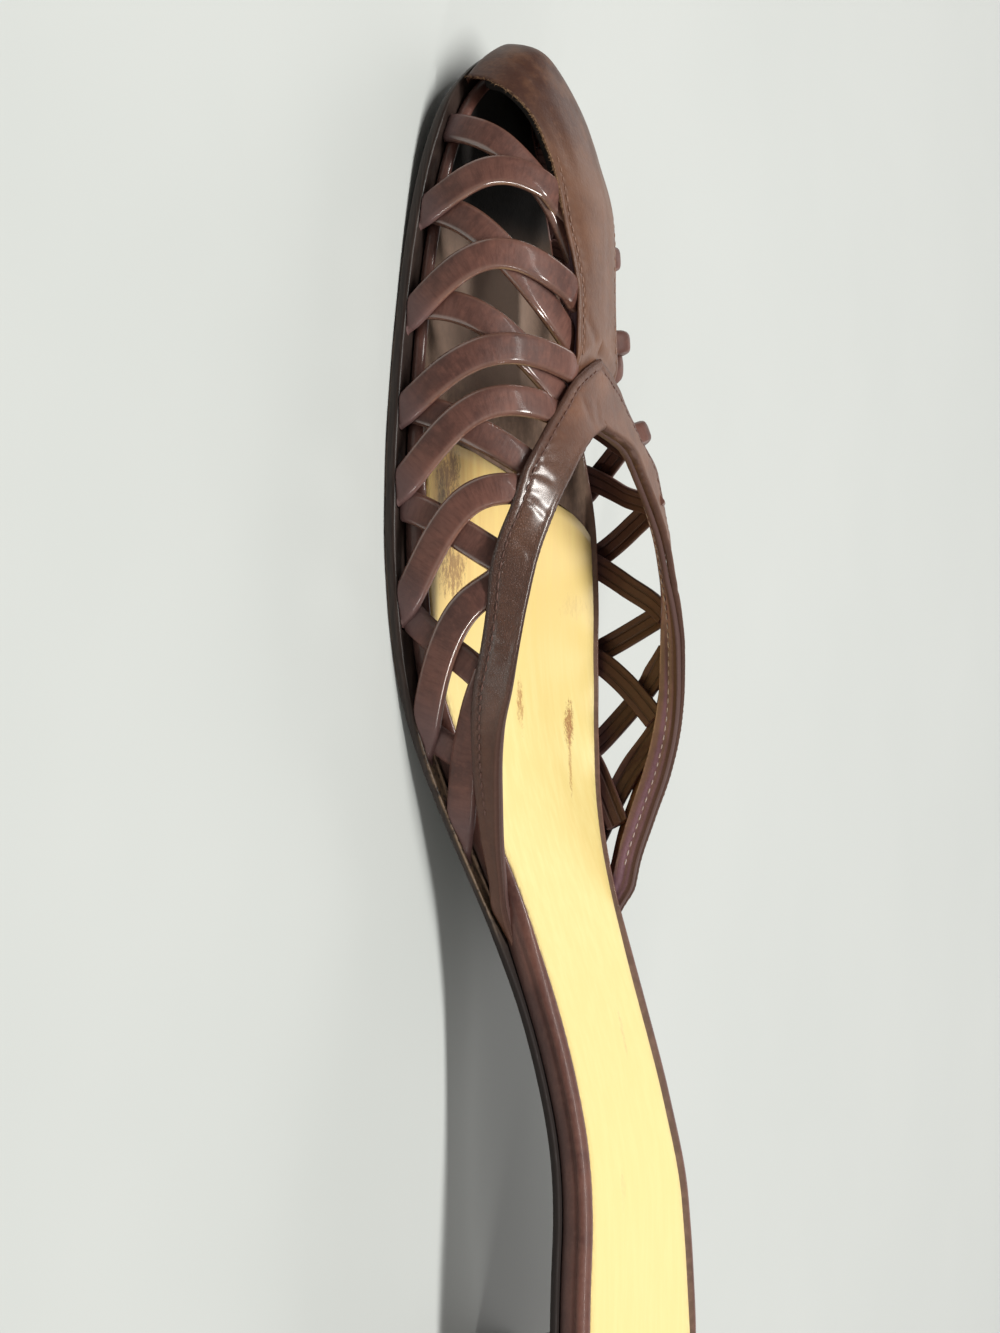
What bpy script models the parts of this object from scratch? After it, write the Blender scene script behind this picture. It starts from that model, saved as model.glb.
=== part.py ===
"""Woven strap mule, right shoe: a low slip-on with a closed toe, an open lattice of crossed
straps, a collar of two bands that meet in a chevron, and a low heel.

Lengths in the tables are millimetres. u runs from the toe tip to the back of the heel, y from the
inner side of the foot (minus) to the outer side (plus), z up from the floor. Angles climb the wall
of the upper from the feather line at the sole (0 degrees) to the ridge of the vamp (90 degrees).
"""
import math

import bmesh
import bpy
import numpy as np

MM = 0.001
U_ORIGIN = 75.0          # the ball of the tread is the origin of the frame
LENGTH = 258.0

SOLE_FORE = 2.0          # outsole thickness at the tread
SOLE_SHANK = 1.3         # outsole thickness from the shank back
TOE_SPRING = 5.6
SPRING_END = 52.0        # where the toe spring has come down to the floor
SPRING_POWER = 2.6
SHANK_RISE = 21.6        # how far the underside climbs to the heel seat
SHANK_START = 104.0
SHANK_RUN = 96.0
SOCK_TOP = 5.4           # top of the sock above the floor at the ball
SOCK_RISE = 22.2
SOCK_START = 98.8
SOCK_RUN = 103.0
SOCK_THICK = 0.7
GAP = 0.3

FEATHER_INSET = 0.8      # the wall stands this far inside the sole edge
STRAP_WIDTH = 5.0
OUTER_STRAP = (0.0, 1.7)      # offset of the face from the last, thickness
INNER_STRAP = (-1.3, 1.6)
TUCKED = -1.6           # offset of an outer strap's face where it runs under an overlay
TUCK_RUN = 3.0
CLEAR_EDGE = 1.2         # an outer strap starts to rise this far below the overlay's edge
BELOW_FEATHER = 30.0     # drop for a radian where a strap runs on past the feather line
FOOT_RUN = 6.5           # degrees that a strap runs on before the sole cuts it
LINING = (-1.25, 1.4)
OVERLAY = (0.4, 1.2)
THROAT_U = 66.0
APEX_U = 54.0

# sole edge: u, inner y, outer y
SOLE_EDGE = np.array([
    (0.0, -8.5, -8.5), (1.2, -13.0, -4.6), (4.8, -19.2, 1.4), (10.8, -25.2, 7.8),
    (19.2, -29.4, 14.4), (30.0, -32.6, 21.0), (43.2, -35.7, 27.4), (58.0, -38.6, 33.0),
    (72.0, -40.4, 36.8), (84.0, -40.8, 39.0), (96.0, -39.6, 39.8), (108.0, -36.6, 38.6),
    (120.0, -32.4, 34.6), (134.0, -26.6, 28.4), (150.0, -21.6, 23.6), (166.0, -19.6, 22.2),
    (182.0, -20.0, 23.2), (198.0, -21.6, 26.4), (212.0, -22.8, 29.0), (226.0, -23.2, 30.4),
    (238.0, -20.6, 28.4), (248.0, -14.8, 23.0), (254.0, -8.4, 17.0), (257.2, -2.0, 10.8),
    (258.0, 4.0, 4.0)])

# last sections: u, ridge y, ridge height, inner squareness, outer squareness, inner bulge,
# outer bulge, sag of the ridge
LAST = np.array([
    (0.0, -8.5, 0.0, 2.0, 2.0, 0.0, 0.0, 0.0),
    (1.2, -8.5, 6.3, 2.0, 2.0, 0.4, 0.4, 0.0),
    (4.8, -8.5, 10.4, 2.1, 1.9, 0.8, 0.8, 0.0),
    (10.8, -8.5, 14.4, 2.2, 1.8, 1.0, 1.0, 0.0),
    (19.2, -8.5, 18.2, 2.3, 1.7, 1.0, 1.0, 0.0),
    (30.0, -8.5, 21.9, 2.4, 1.6, 1.0, 1.0, 0.0),
    (43.2, -8.5, 22.6, 2.4, 1.5, 0.8, 1.6, 0.0),
    (58.0, -9.0, 22.4, 2.4, 1.6, 0.6, 2.6, 0.0),
    (72.0, -9.0, 25.6, 2.4, 1.9, 0.6, 2.0, 1.0),
    (84.0, -8.0, 30.0, 2.4, 2.2, 0.8, 1.0, 1.0),
    (96.0, -6.0, 34.0, 2.4, 2.4, 1.2, 0.6, 1.0),
    (108.0, -3.0, 37.5, 2.4, 2.4, 2.0, 0.6, 0.0),
    (120.0, 0.0, 41.0, 2.4, 2.4, 2.4, 0.8, 0.0),
    (134.0, 2.0, 46.0, 2.4, 2.4, 2.4, 1.0, 0.0),
    (150.0, 2.0, 52.0, 2.4, 2.4, 1.0, 0.4, 0.0),
    (166.0, 2.0, 58.0, 2.4, 2.4, 0.0, 0.0, 0.0)])

# lower edge of toe piece, vamp strip and collar: u, angle; one table for each side
LOW_INNER = np.array([
    (0.0, 0.0), (6.8, 0.0), (8.2, 21.5), (11.8, 44.0), (15.2, 53.5), (22.5, 61.5), (27.5, 63.0),
    (32.0, 66.0), (38.5, 72.0), (44.5, 76.0), (52.5, 77.0), (57.0, 77.0), (60.0, 72.0),
    (66.0, 59.0), (71.0, 49.0), (74.5, 43.0), (79.5, 36.5), (84.5, 30.0), (90.0, 25.0),
    (97.5, 21.2), (103.0, 18.0), (109.5, 13.4), (118.0, 9.0), (127.0, 4.8), (134.5, 2.0),
    (141.0, 0.0), (160.0, 0.0)])
LOW_OUTER = np.array([
    (0.0, 0.0), (8.0, 0.0), (9.5, 17.0), (13.0, 35.0), (16.0, 43.0), (22.5, 52.5), (27.5, 57.0),
    (32.0, 62.0), (38.5, 68.0), (44.5, 71.0), (52.5, 72.0), (57.0, 72.0), (60.0, 68.0),
    (64.0, 58.5), (68.0, 50.0), (74.0, 41.0), (80.0, 34.0), (86.0, 29.0), (96.0, 24.0),
    (104.0, 21.0), (110.0, 19.0), (118.0, 15.0), (129.0, 8.5), (135.5, 4.5), (141.0, 2.0),
    (146.0, 0.0), (160.0, 0.0)])

# upper edge of the collar bands, from the throat back: u, angle
HIGH_INNER = np.array([
    (66.0, 90.0), (68.5, 79.5), (75.0, 63.5), (80.5, 52.5), (88.0, 41.8), (95.5, 34.6),
    (102.5, 29.2), (109.5, 23.8), (116.0, 18.0), (127.0, 10.5), (135.5, 5.8), (142.0, 3.2),
    (149.5, 1.6), (160.0, 1.2)])
HIGH_OUTER = np.array([
    (66.0, 90.0), (68.0, 74.0), (71.5, 61.0), (80.5, 47.5), (86.0, 42.0), (90.0, 38.0),
    (98.0, 32.5), (106.0, 30.0), (115.5, 26.0), (125.0, 19.0), (133.0, 12.5), (141.0, 7.0),
    (149.0, 2.6), (160.0, 1.6)])

# chevron in front of the throat: u, lower angle on the inner side, on the outer side
CHEVRON = np.array([(54.0, 90.0, 90.0), (56.0, 82.5, 80.0), (58.4, 75.2, 71.0)])

# straps: angle at the top, then u at the top, at two thirds, at one third and at the foot
OUTER_INNER_SIDE = [
    (77.0, 30.8, 25.0, 24.0, 32.0),
    (84.0, 45.0, 40.2, 38.6, 48.0),
    (86.0, 57.5, 54.4, 55.0, 64.0),
    (74.0, 64.5, 62.5, 64.7, 76.5),
    (53.0, 75.0, 77.0, 80.3, 96.0),
    (31.0, 90.5, 94.2, 100.3, 117.0),
    (18.0, 107.3, 113.3, 121.3, 133.0)]
INNER_INNER_SIDE = [
    (80.0, 37.5, 24.0, 17.8, 15.2),
    (85.0, 53.5, 43.8, 35.0, 29.6),
    (76.0, 61.5, 53.6, 48.0, 46.0),
    (53.0, 73.5, 69.0, 65.6, 63.0),
    (31.0, 89.0, 85.7, 82.3, 79.5),
    (16.0, 108.5, 105.0, 102.0, 97.5),
    (7.5, 124.0, 121.7, 120.0, 117.5)]
OUTER_OUTER_SIDE = [
    (70.0, 24.5, 22.3, 22.8, 28.0),
    (74.0, 35.0, 35.0, 37.0, 43.0),
    (80.0, 48.5, 49.5, 52.0, 58.0),
    (64.0, 64.5, 64.6, 67.5, 74.0),
    (45.0, 75.0, 77.6, 81.5, 86.5),
    (31.0, 94.5, 96.8, 100.0, 104.0),
    (25.5, 103.3, 108.8, 115.0, 122.5),
    (20.5, 116.3, 121.5, 127.8, 139.0)]
INNER_OUTER_SIDE = [
    (76.0, 40.0, 27.0, 17.5, 15.0),
    (76.0, 60.0, 44.0, 33.5, 30.0),
    (58.0, 70.0, 58.2, 49.5, 46.0),
    (50.0, 69.0, 64.8, 61.0, 59.0),
    (40.0, 77.5, 74.4, 71.8, 70.0),
    (26.5, 96.0, 92.6, 89.2, 86.0),
    (20.0, 116.4, 111.4, 107.0, 104.2),
    (5.5, 135.0, 129.5, 125.0, 122.0)]

# heel sections from the seat down: z, u at the breast, u at the back, half width, y of the middle
HEEL = [
    (21.3, 217.0, 256.6, 24.6, 3.6),
    (17.5, 219.0, 255.2, 21.4, 3.6),
    (13.0, 220.8, 253.4, 18.2, 3.6),
    (9.0, 222.2, 251.8, 16.0, 3.6),
    (5.0, 223.5, 250.4, 14.8, 3.6)]
TIP_THICK = 4.7
SOCK_FRONT_INNER = (67.2, -32.0)     # u, y of the sock's slanted front edge
SOCK_FRONT_OUTER = (79.5, 33.5)

COLOURS = {
    "outsole": (0.035, 0.022, 0.018),
    "footbed": (0.085, 0.040, 0.032),
    "sock_lining": (0.78, 0.58, 0.28),
    "upper": (0.110, 0.052, 0.042),
    "toe_piece": (0.130, 0.064, 0.050),
    "collar": (0.120, 0.058, 0.046),
    "heel": (0.085, 0.040, 0.032),
    "heel_tip": (0.030, 0.026, 0.024)}


def smooth(t):
    t = np.clip(t, 0.0, 1.0)
    return t * t * (3.0 - 2.0 * t)


def through(xs, ys, at):
    """A curve through the rows of a table that never overshoots them."""
    xs = np.asarray(xs, float)
    ys = np.asarray(ys, float)
    step = np.diff(xs)
    slope = np.diff(ys) / step
    rate = np.zeros(len(xs))
    rate[0] = slope[0]
    rate[-1] = slope[-1]
    for i in range(1, len(xs) - 1):
        if slope[i - 1] * slope[i] > 0.0:
            a = 2.0 * step[i] + step[i - 1]
            b = step[i] + 2.0 * step[i - 1]
            rate[i] = (a + b) / (a / slope[i - 1] + b / slope[i])
    k = np.clip(np.searchsorted(xs, at) - 1, 0, len(step) - 1)
    t = (at - xs[k]) / step[k]
    keep = (1.0 + 2.0 * t) * (1.0 - t) ** 2 * ys[k] + t * t * (3.0 - 2.0 * t) * ys[k + 1]
    bend = t * (1.0 - t) ** 2 * rate[k] + t * t * (t - 1.0) * rate[k + 1]
    return keep + step[k] * bend


def column(table, c, u):
    """A table column along the foot. The square root of u gives the toe its round end."""
    return through(np.sqrt(table[:, 0]), table[:, c], np.sqrt(np.clip(u, 0.0, None)))


def floor_line(u):
    """Height of the underside of the sole."""
    spring = TOE_SPRING * (np.clip(SPRING_END - u, 0.0, None) / SPRING_END) ** SPRING_POWER
    return spring + SHANK_RISE * smooth((u - SHANK_START) / SHANK_RUN)


def sole_top(u):
    thin = smooth((u - 100.0) / 45.0)
    return floor_line(u) + SOLE_FORE + (SOLE_SHANK - SOLE_FORE) * thin


def sock_top(u):
    spring = TOE_SPRING * (np.clip(SPRING_END - u, 0.0, None) / SPRING_END) ** SPRING_POWER
    return SOCK_TOP + spring + SOCK_RISE * smooth((u - SOCK_START) / SOCK_RUN)


def last_point(u, angle, side):
    """A point of the last. side is -1 for the inner and 1 for the outer half of the foot."""
    a = math.radians(max(angle, 0.0))
    u = max(u, 0.0)
    ridge = column(LAST, 1, u)
    height = column(LAST, 2, u)
    square = column(LAST, 3 if side < 0 else 4, u)
    bulge = column(LAST, 5 if side < 0 else 6, u)
    sag = column(LAST, 7, u)
    edge = column(SOLE_EDGE, 1 if side < 0 else 2, u) - side * FEATHER_INSET * smooth(u / 8.0)
    across = max(math.cos(a), 0.0) ** (2.0 / square)
    up = math.sin(a) ** (2.0 / square)
    y = ridge + (edge - ridge) * across + side * bulge * math.sin(2.0 * a)
    z = sole_top(u) + GAP + height * up - sag * up * math.exp(-((y - ridge) / 8.0) ** 2)
    if angle < 0.0:
        z = z + BELOW_FEATHER * math.radians(angle)
    return np.array([u, y, z], float)


def last_normal(u, angle, side):
    """Outward normal of the last, the mean of both halves on the ridge."""
    if angle > 89.0:
        n = last_normal(u, 88.9, -1) + last_normal(u, 88.9, 1)
        return n / np.linalg.norm(n)
    root = math.sqrt(max(u, 0.02))
    a = min(max(angle, 1.0), 88.0)
    along = last_point((root + 0.05) ** 2, a, side) - last_point(max(root - 0.05, 0.02) ** 2, a, side)
    climb = last_point(root * root, a + 0.8, side) - last_point(root * root, a - 0.8, side)
    n = np.cross(climb, along) * side
    n = n / np.linalg.norm(n)
    return n


def on_last(u, angle, side, offset):
    return last_point(u, angle, side) + offset * last_normal(u, angle, side)


def below_overlay(p, side):
    """How far a point of the wall lies below the edge of strip or collar."""
    u = float(p[0])
    ridge = column(LAST, 1, u)
    edge = column(SOLE_EDGE, 1 if side < 0 else 2, u)
    square = column(LAST, 3 if side < 0 else 4, u)
    across = np.clip((p[1] - ridge) / (edge - ridge), 0.0, 1.0)
    up = np.clip((p[2] - sole_top(u) - GAP) / column(LAST, 2, u), 0.0, 1.0)
    angle = math.degrees(math.atan2(up ** (square / 2.0), across ** (square / 2.0)))
    low = LOW_INNER if side < 0 else LOW_OUTER
    limit = min(float(np.interp(u + near, low[:, 0], low[:, 1])) for near in (-2.0, 0.0, 2.0))
    climb = last_point(u, limit, side) - last_point(u, min(angle, 90.0), side)
    return math.copysign(float(np.linalg.norm(climb)), limit - angle)


def place(p):
    """Millimetres along the foot to metres in the frame."""
    return ((p[0] - U_ORIGIN) * MM, p[1] * MM, p[2] * MM)


for old in list(bpy.data.objects):
    bpy.data.objects.remove(old, do_unlink=True)
PARTS = bpy.data.collections.new("woven_mule")
TOOLS = bpy.data.collections.new("tools")
STRAPS = bpy.data.collections.new("straps")
bpy.context.scene.collection.children.link(PARTS)
bpy.context.scene.collection.children.link(TOOLS)
TOOLS.children.link(STRAPS)


def mesh_object(name, points, faces, home):
    mesh = bpy.data.meshes.new(name)
    mesh.from_pydata([place(p) for p in points], [], faces)
    mesh.validate()
    bm = bmesh.new()
    bm.from_mesh(mesh)
    bmesh.ops.dissolve_degenerate(bm, dist=1e-7, edges=bm.edges[:])
    bm.to_mesh(mesh)
    bm.free()
    obj = bpy.data.objects.new(name, mesh)
    home.objects.link(obj)
    if home is PARTS:
        material = bpy.data.materials.new(name)
        material.use_nodes = True
        shader = material.node_tree.nodes["Principled BSDF"]
        shader.inputs["Base Color"].default_value = COLOURS[name] + (1.0,)
        shader.inputs["Roughness"].default_value = 0.45
        mesh.materials.append(material)
    else:
        obj.hide_render = True
        obj.display_type = "WIRE"
    return obj


def thicken(obj, thickness):
    solid = obj.modifiers.new("wall", "SOLIDIFY")
    solid.thickness = thickness * MM
    solid.offset = -1.0
    solid.use_even_offset = True
    solid.use_quality_normals = True
    return obj


def boolean(obj, operation, tool):
    cut = obj.modifiers.new(operation.lower(), "BOOLEAN")
    cut.operation = operation
    cut.solver = "EXACT"
    if isinstance(tool, bpy.types.Collection):
        cut.operand_type = "COLLECTION"
        cut.collection = tool
    else:
        cut.object = tool
    return cut


def rounded(obj, width, segments):
    bevel = obj.modifiers.new("rim", "BEVEL")
    bevel.width = width * MM
    bevel.segments = segments
    bevel.limit_method = "ANGLE"
    bevel.angle_limit = math.radians(50.0)
    return obj


def inset_edge(inset):
    """The sole edge moved inward by inset(u), measured square to the edge."""
    root = np.linspace(0.0, math.sqrt(LENGTH), 500)
    u = root * root
    curves = {}
    for side, c in ((-1, 1), (1, 2)):
        y = column(SOLE_EDGE, c, u)
        du = np.gradient(u, root)
        dy = np.gradient(y, root)
        span = np.hypot(du, dy)
        du = du / span
        dy = dy / span
        depth = inset(u)
        moved_u = u + depth * dy * side
        moved_y = y - depth * du * side
        order = np.maximum.accumulate(moved_u)
        good = np.concatenate([[True], np.diff(order) > 1e-6])
        curves[side] = (moved_u[good], moved_y[good])
    return curves


def plate(name, inset, low, high, home, start=None, rows=40, columns=6):
    """A plate with the sole's outline, moved inward, between two height functions."""
    curves = inset_edge(inset)
    first = max(curves[-1][0][0], curves[1][0][0]) + 0.08
    last = min(curves[-1][0][-1], curves[1][0][-1]) - 0.08
    if start is not None:
        first = start
    turn = np.linspace(0.0, 1.0, rows)
    ease = turn - 0.8 * np.sin(2.0 * math.pi * turn) / (2.0 * math.pi)
    stations = first + (last - first) * ease
    points = []
    for height in (low, high):
        for u in stations:
            y0 = np.interp(u, *curves[-1])
            y1 = np.interp(u, *curves[1])
            for k in range(columns + 1):
                points.append((u, y0 + (y1 - y0) * k / columns, float(height(u))))
    wide = columns + 1
    layer = rows * wide
    faces = []
    for i in range(rows - 1):
        for k in range(columns):
            a = i * wide + k
            faces.append((a, a + 1, a + wide + 1, a + wide))
            b = a + layer
            faces.append((b, b + wide, b + wide + 1, b + 1))
    for i in range(rows - 1):
        a = i * wide
        faces.append((a, a + wide, a + wide + layer, a + layer))
        b = a + columns
        faces.append((b, b + layer, b + wide + layer, b + wide))
    for k in range(columns):
        faces.append((k, k + layer, k + 1 + layer, k + 1))
        b = (rows - 1) * wide + k
        faces.append((b, b + 1, b + 1 + layer, b + layer))
    return mesh_object(name, points, faces, home)


def saddle(name, stations, low, high, columns, offset, end=None):
    """A sheet over the vamp that parts into two bands behind the throat."""
    points = []
    grid = []
    for u in stations:
        row = []
        parted = u > THROAT_U + 0.01
        if u < 0.001 or (u < THROAT_U and low[-1](u) > 89.99):
            pole = last_point(u, 90.0, 1) + offset * last_normal(u, 45.0 if u < 1.0 else 90.0, 1)
            grid.append([len(points)] * (2 * columns + 2))
            points.append(pole)
            continue
        for side in (-1, 1):
            a0 = low[side](u)
            a1 = high[side](u)
            for k in range(columns + 1):
                if side > 0 and k == 0 and not parted:
                    row.append(row[-1])
                    continue
                t = k / columns
                if side > 0:
                    t = 1.0 - t
                angle = a0 + (a1 - a0) * t
                at = u if end is None else end(u, angle, side)
                row.append(len(points))
                points.append(on_last(at, angle, side, offset))
        grid.append(row)
    faces = []
    for r0, r1 in zip(grid[:-1], grid[1:]):
        for k in range(2 * columns + 1):
            if k == columns:
                continue
            corner = [r0[k], r1[k], r1[k + 1], r0[k + 1]]
            faces.append(tuple(dict.fromkeys(corner)))
    return mesh_object(name, points, faces, PARTS)


def strap_bow(along, t):
    """u of a strap's middle line: one smooth bow through its four rows, run on straight past the foot."""
    a, b, c, d = along
    s = 3.0 * min(t, 1.0)
    u = b * s * (s - 2.0) * (s - 3.0) / 2.0 - a * (s - 1.0) * (s - 2.0) * (s - 3.0) / 6.0
    u = u + d * s * (s - 1.0) * (s - 2.0) / 6.0 - c * s * (s - 1.0) * (s - 3.0) / 2.0
    return u + (d - c) * 3.0 * max(t - 1.0, 0.0)


def strap(name, row, side, face, thickness, tucked):
    """A strap down the wall, from under the strip or collar to the sole."""
    top, *along = row
    line = []
    for t in np.linspace(0.0, 1.0 + FOOT_RUN / top, 60):
        line.append((strap_bow(along, t), top * (1.0 - t)))
    path = np.array([last_point(u, a, side) for u, a in line])
    run = np.concatenate([[0.0], np.cumsum(np.linalg.norm(np.diff(path, axis=0), axis=1))])
    stations = np.linspace(0.0, run[-1], max(6, int(run[-1] / 4.4)))
    points = []
    for s in stations:
        u = float(np.interp(s, run, [p[0] for p in line]))
        a = float(np.interp(s, run, [p[1] for p in line]))
        ahead = np.array([np.interp(min(s + 0.5, run[-1]), run, path[:, c]) for c in range(3)])
        behind = np.array([np.interp(max(s - 0.5, 0.0), run, path[:, c]) for c in range(3)])
        n = last_normal(u, a, side)
        way = ahead - behind
        across = np.cross(n, way)
        across = across / np.linalg.norm(across)
        for half in (-STRAP_WIDTH / 2.0, STRAP_WIDTH / 2.0):
            corner = last_point(u, a, side) + half * across
            clear = below_overlay(corner, side) - CLEAR_EDGE
            lift = tucked + (face - tucked) * smooth(clear / TUCK_RUN)
            points.append(corner + float(lift) * n)
    faces = [(2 * i, 2 * i + 2, 2 * i + 3, 2 * i + 1) for i in range(len(stations) - 1)]
    return thicken(mesh_object(name, points, faces, STRAPS), thickness)


def edge_angle(table):
    return lambda u: float(np.interp(u, table[:, 0], table[:, 1]))


def chevron_u(angle, side):
    c = 1 if side < 0 else 2
    return float(np.interp(-angle, -CHEVRON[:, c], CHEVRON[:, 0]))


LOW = {-1: edge_angle(LOW_INNER), 1: edge_angle(LOW_OUTER)}
HIGH = {-1: edge_angle(HIGH_INNER), 1: edge_angle(HIGH_OUTER)}
RIDGE = {-1: lambda u: 90.0, 1: lambda u: 90.0}


def collar_low(side):
    c = 1 if side < 0 else 2
    front = edge_angle(np.column_stack([CHEVRON[:, 0], CHEVRON[:, c]]))
    return lambda u: front(u) if u < CHEVRON[-1, 0] else LOW[side](u)


# outsole, flat at the tread and thin along the shank
outsole = plate("outsole", lambda u: 0.0 * u, floor_line, sole_top, PARTS, rows=38, columns=4)
rounded(outsole, 0.4, 1)

# footbed, narrow between the straps and full width along the shank, with a rounded rim
footbed_inset = lambda u: 4.6 - 4.0 * smooth((u - 150.0) / 9.0)
footbed = plate("footbed", footbed_inset, lambda u: sole_top(u) + GAP,
                lambda u: sock_top(u) - SOCK_THICK - GAP, PARTS, rows=38, columns=4)
rounded(footbed, 0.8, 2)

# sock, cut straight across behind the toes
sock_inset = lambda u: 5.8 - 2.4 * smooth((u - 146.0) / 14.0)
sock = plate("sock_lining", sock_inset, lambda u: sock_top(u) - SOCK_THICK, sock_top, PARTS,
             start=52.0, rows=30, columns=3)
slant = math.atan2(SOCK_FRONT_OUTER[0] - SOCK_FRONT_INNER[0],
                   SOCK_FRONT_OUTER[1] - SOCK_FRONT_INNER[1])
bpy.ops.mesh.primitive_cube_add(size=1.0)
sock_cut = bpy.context.object
sock_cut.name = "sock_front"
sock_cut.scale = (60.0 * MM, 140.0 * MM, 30.0 * MM)
sock_cut.rotation_euler = (0.0, 0.0, -slant)
middle = np.add(SOCK_FRONT_INNER, SOCK_FRONT_OUTER) / 2.0
sock_cut.location = place((middle[0] - 30.0 * math.cos(slant), middle[1] + 30.0 * math.sin(slant), 6.0))
sock_cut.hide_render = True
sock_cut.display_type = "WIRE"
for home in list(sock_cut.users_collection):
    home.objects.unlink(sock_cut)
TOOLS.objects.link(sock_cut)
boolean(sock, "DIFFERENCE", sock_cut)

# upper: the lining of toe and collar, with every strap joined to it and to the straps it crosses
root_steps = np.linspace(0.0, math.sqrt(10.0), 8)[:-1] ** 2
lining_rows = list(root_steps) + list(np.linspace(10.0, 50.0, 11)) + [54.0, 57.0, 60.0, 63.0]
band_rows = [66.0, 67.2, 69.0, 72.0] + list(np.linspace(76.0, 150.0, 20))
upper = saddle("upper", lining_rows + band_rows, LOW, HIGH, 4, LINING[0])
thicken(upper, LINING[1])
for side, label, outer, inner in ((-1, "inner_side", OUTER_INNER_SIDE, INNER_INNER_SIDE),
                                  (1, "outer_side", OUTER_OUTER_SIDE, INNER_OUTER_SIDE)):
    for i, row in enumerate(outer):
        strap(f"over_strap_{label}_{i}", row, side, *OUTER_STRAP, TUCKED)
    for i, row in enumerate(inner):
        strap(f"under_strap_{label}_{i}", row, side, *INNER_STRAP, INNER_STRAP[0] - 0.1)
boolean(upper, "UNION", STRAPS)
sole_room = plate("sole_room", lambda u: -8.0 + 0.0 * u, lambda u: floor_line(u) - 14.0,
                  lambda u: sole_top(u) + GAP, TOOLS, rows=46, columns=1)
boolean(upper, "DIFFERENCE", sole_room)

# toe piece: toe cap and vamp strip, ending in the notch of the chevron


def strip_end(u, angle, side):
    share = smooth((u - 40.0) / (APEX_U - 0.4 - 40.0))
    return u + (chevron_u(angle, side) - APEX_U) * float(share)


toe_rows = list(np.linspace(0.0, math.sqrt(10.0), 9)[:-1] ** 2) + list(np.linspace(10.0, APEX_U - 0.4, 13))
toe_piece = saddle("toe_piece", toe_rows, LOW, RIDGE, 6, OVERLAY[0], strip_end)
thicken(toe_piece, OVERLAY[1])

# collar: chevron and bands
collar_rows = [APEX_U, 56.0, 58.4, 60.5, 63.0] + band_rows
collar = saddle("collar", collar_rows, {s: collar_low(s) for s in (-1, 1)}, HIGH, 4, OVERLAY[0])
thicken(collar, OVERLAY[1])

# heel and its top piece


def heel_ring(u0, u1, half, mid, z, sides=28):
    ring = []
    for k in range(sides):
        t = 2.0 * math.pi * k / sides
        c = math.cos(t)
        s = math.sin(t)
        power = 0.5 if c < 0.0 else 0.9
        x = (u0 + u1) / 2.0 + (u1 - u0) / 2.0 * math.copysign(abs(c) ** power, c)
        ring.append((x, mid + half * math.copysign(abs(s) ** 0.9, s), z))
    return ring


def stack(name, rings):
    points = [p for ring in rings for p in ring]
    n = len(rings[0])
    faces = []
    for r in range(len(rings) - 1):
        for k in range(n):
            a = r * n + k
            b = r * n + (k + 1) % n
            faces.append((a, a + n, b + n, b))
    faces.append(tuple(range(n)))
    faces.append(tuple(reversed(range((len(rings) - 1) * n, len(rings) * n))))
    return mesh_object(name, points, faces, PARTS)


heel = stack("heel", [heel_ring(u0, u1, half, mid, z) for z, u0, u1, half, mid in HEEL])
z, u0, u1, half, mid = HEEL[-1]
heel_tip = stack("heel_tip", [heel_ring(u0, u1, half, mid, TIP_THICK),
                              heel_ring(u0 + 0.4, u1 - 0.4, half - 0.4, mid, 0.0)])
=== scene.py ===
"""Looks of the woven strap mule, a right shoe, put together from the sole up.

Sizes are millimetres: u from the toe tip to the back of the heel, y from the inner side of the foot
(minus) to the outer side, z up from the floor. Angles climb the wall of the upper from the feather
line at the sole (0 degrees) to the ridge of the vamp (90 degrees).
"""
import math
from types import SimpleNamespace

import bmesh
import bpy
import numpy as np
from mathutils import Matrix


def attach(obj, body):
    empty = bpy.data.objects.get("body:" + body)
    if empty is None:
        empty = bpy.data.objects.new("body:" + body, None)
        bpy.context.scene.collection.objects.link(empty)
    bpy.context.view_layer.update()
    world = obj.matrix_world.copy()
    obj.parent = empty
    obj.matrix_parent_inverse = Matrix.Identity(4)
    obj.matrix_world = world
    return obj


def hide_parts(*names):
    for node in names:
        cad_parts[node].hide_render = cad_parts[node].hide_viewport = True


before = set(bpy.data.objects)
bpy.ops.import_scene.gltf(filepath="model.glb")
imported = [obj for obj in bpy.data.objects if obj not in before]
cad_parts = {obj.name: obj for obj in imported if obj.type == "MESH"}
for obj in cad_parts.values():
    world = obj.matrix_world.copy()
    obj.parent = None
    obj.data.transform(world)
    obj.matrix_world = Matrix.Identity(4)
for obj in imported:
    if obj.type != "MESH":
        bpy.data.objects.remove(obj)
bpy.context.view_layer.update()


# The outsole is one piece of sole leather, two millimetres thick at the tread and thinner along the
# shank. Its edge is trimmed, inked nearly black and waxed. Behind the ball a pale line is painted
# along the top of the edge as a highlight, and along the shank the edge is painted darker as shade.
LENGTH = 258.0
BALL_U = 75.0            # the ball of the tread is the origin of the frame
TOE_SPRING, SPRING_END, SPRING_POWER = 5.6, 52.0, 2.6
SEAT_RISE, ARCH_START, ARCH_RUN = 21.6, 104.0, 96.0     # from the tread up to the heel seat
SOLE_THICK, SHANK_THINNER, TOE_THINNER = 2.0, 0.7, 1.0
TRIM_BACK, TOE_BACK = 0.4, 0.6      # the edge is cut back along the tread, and more at the toe tip
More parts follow.
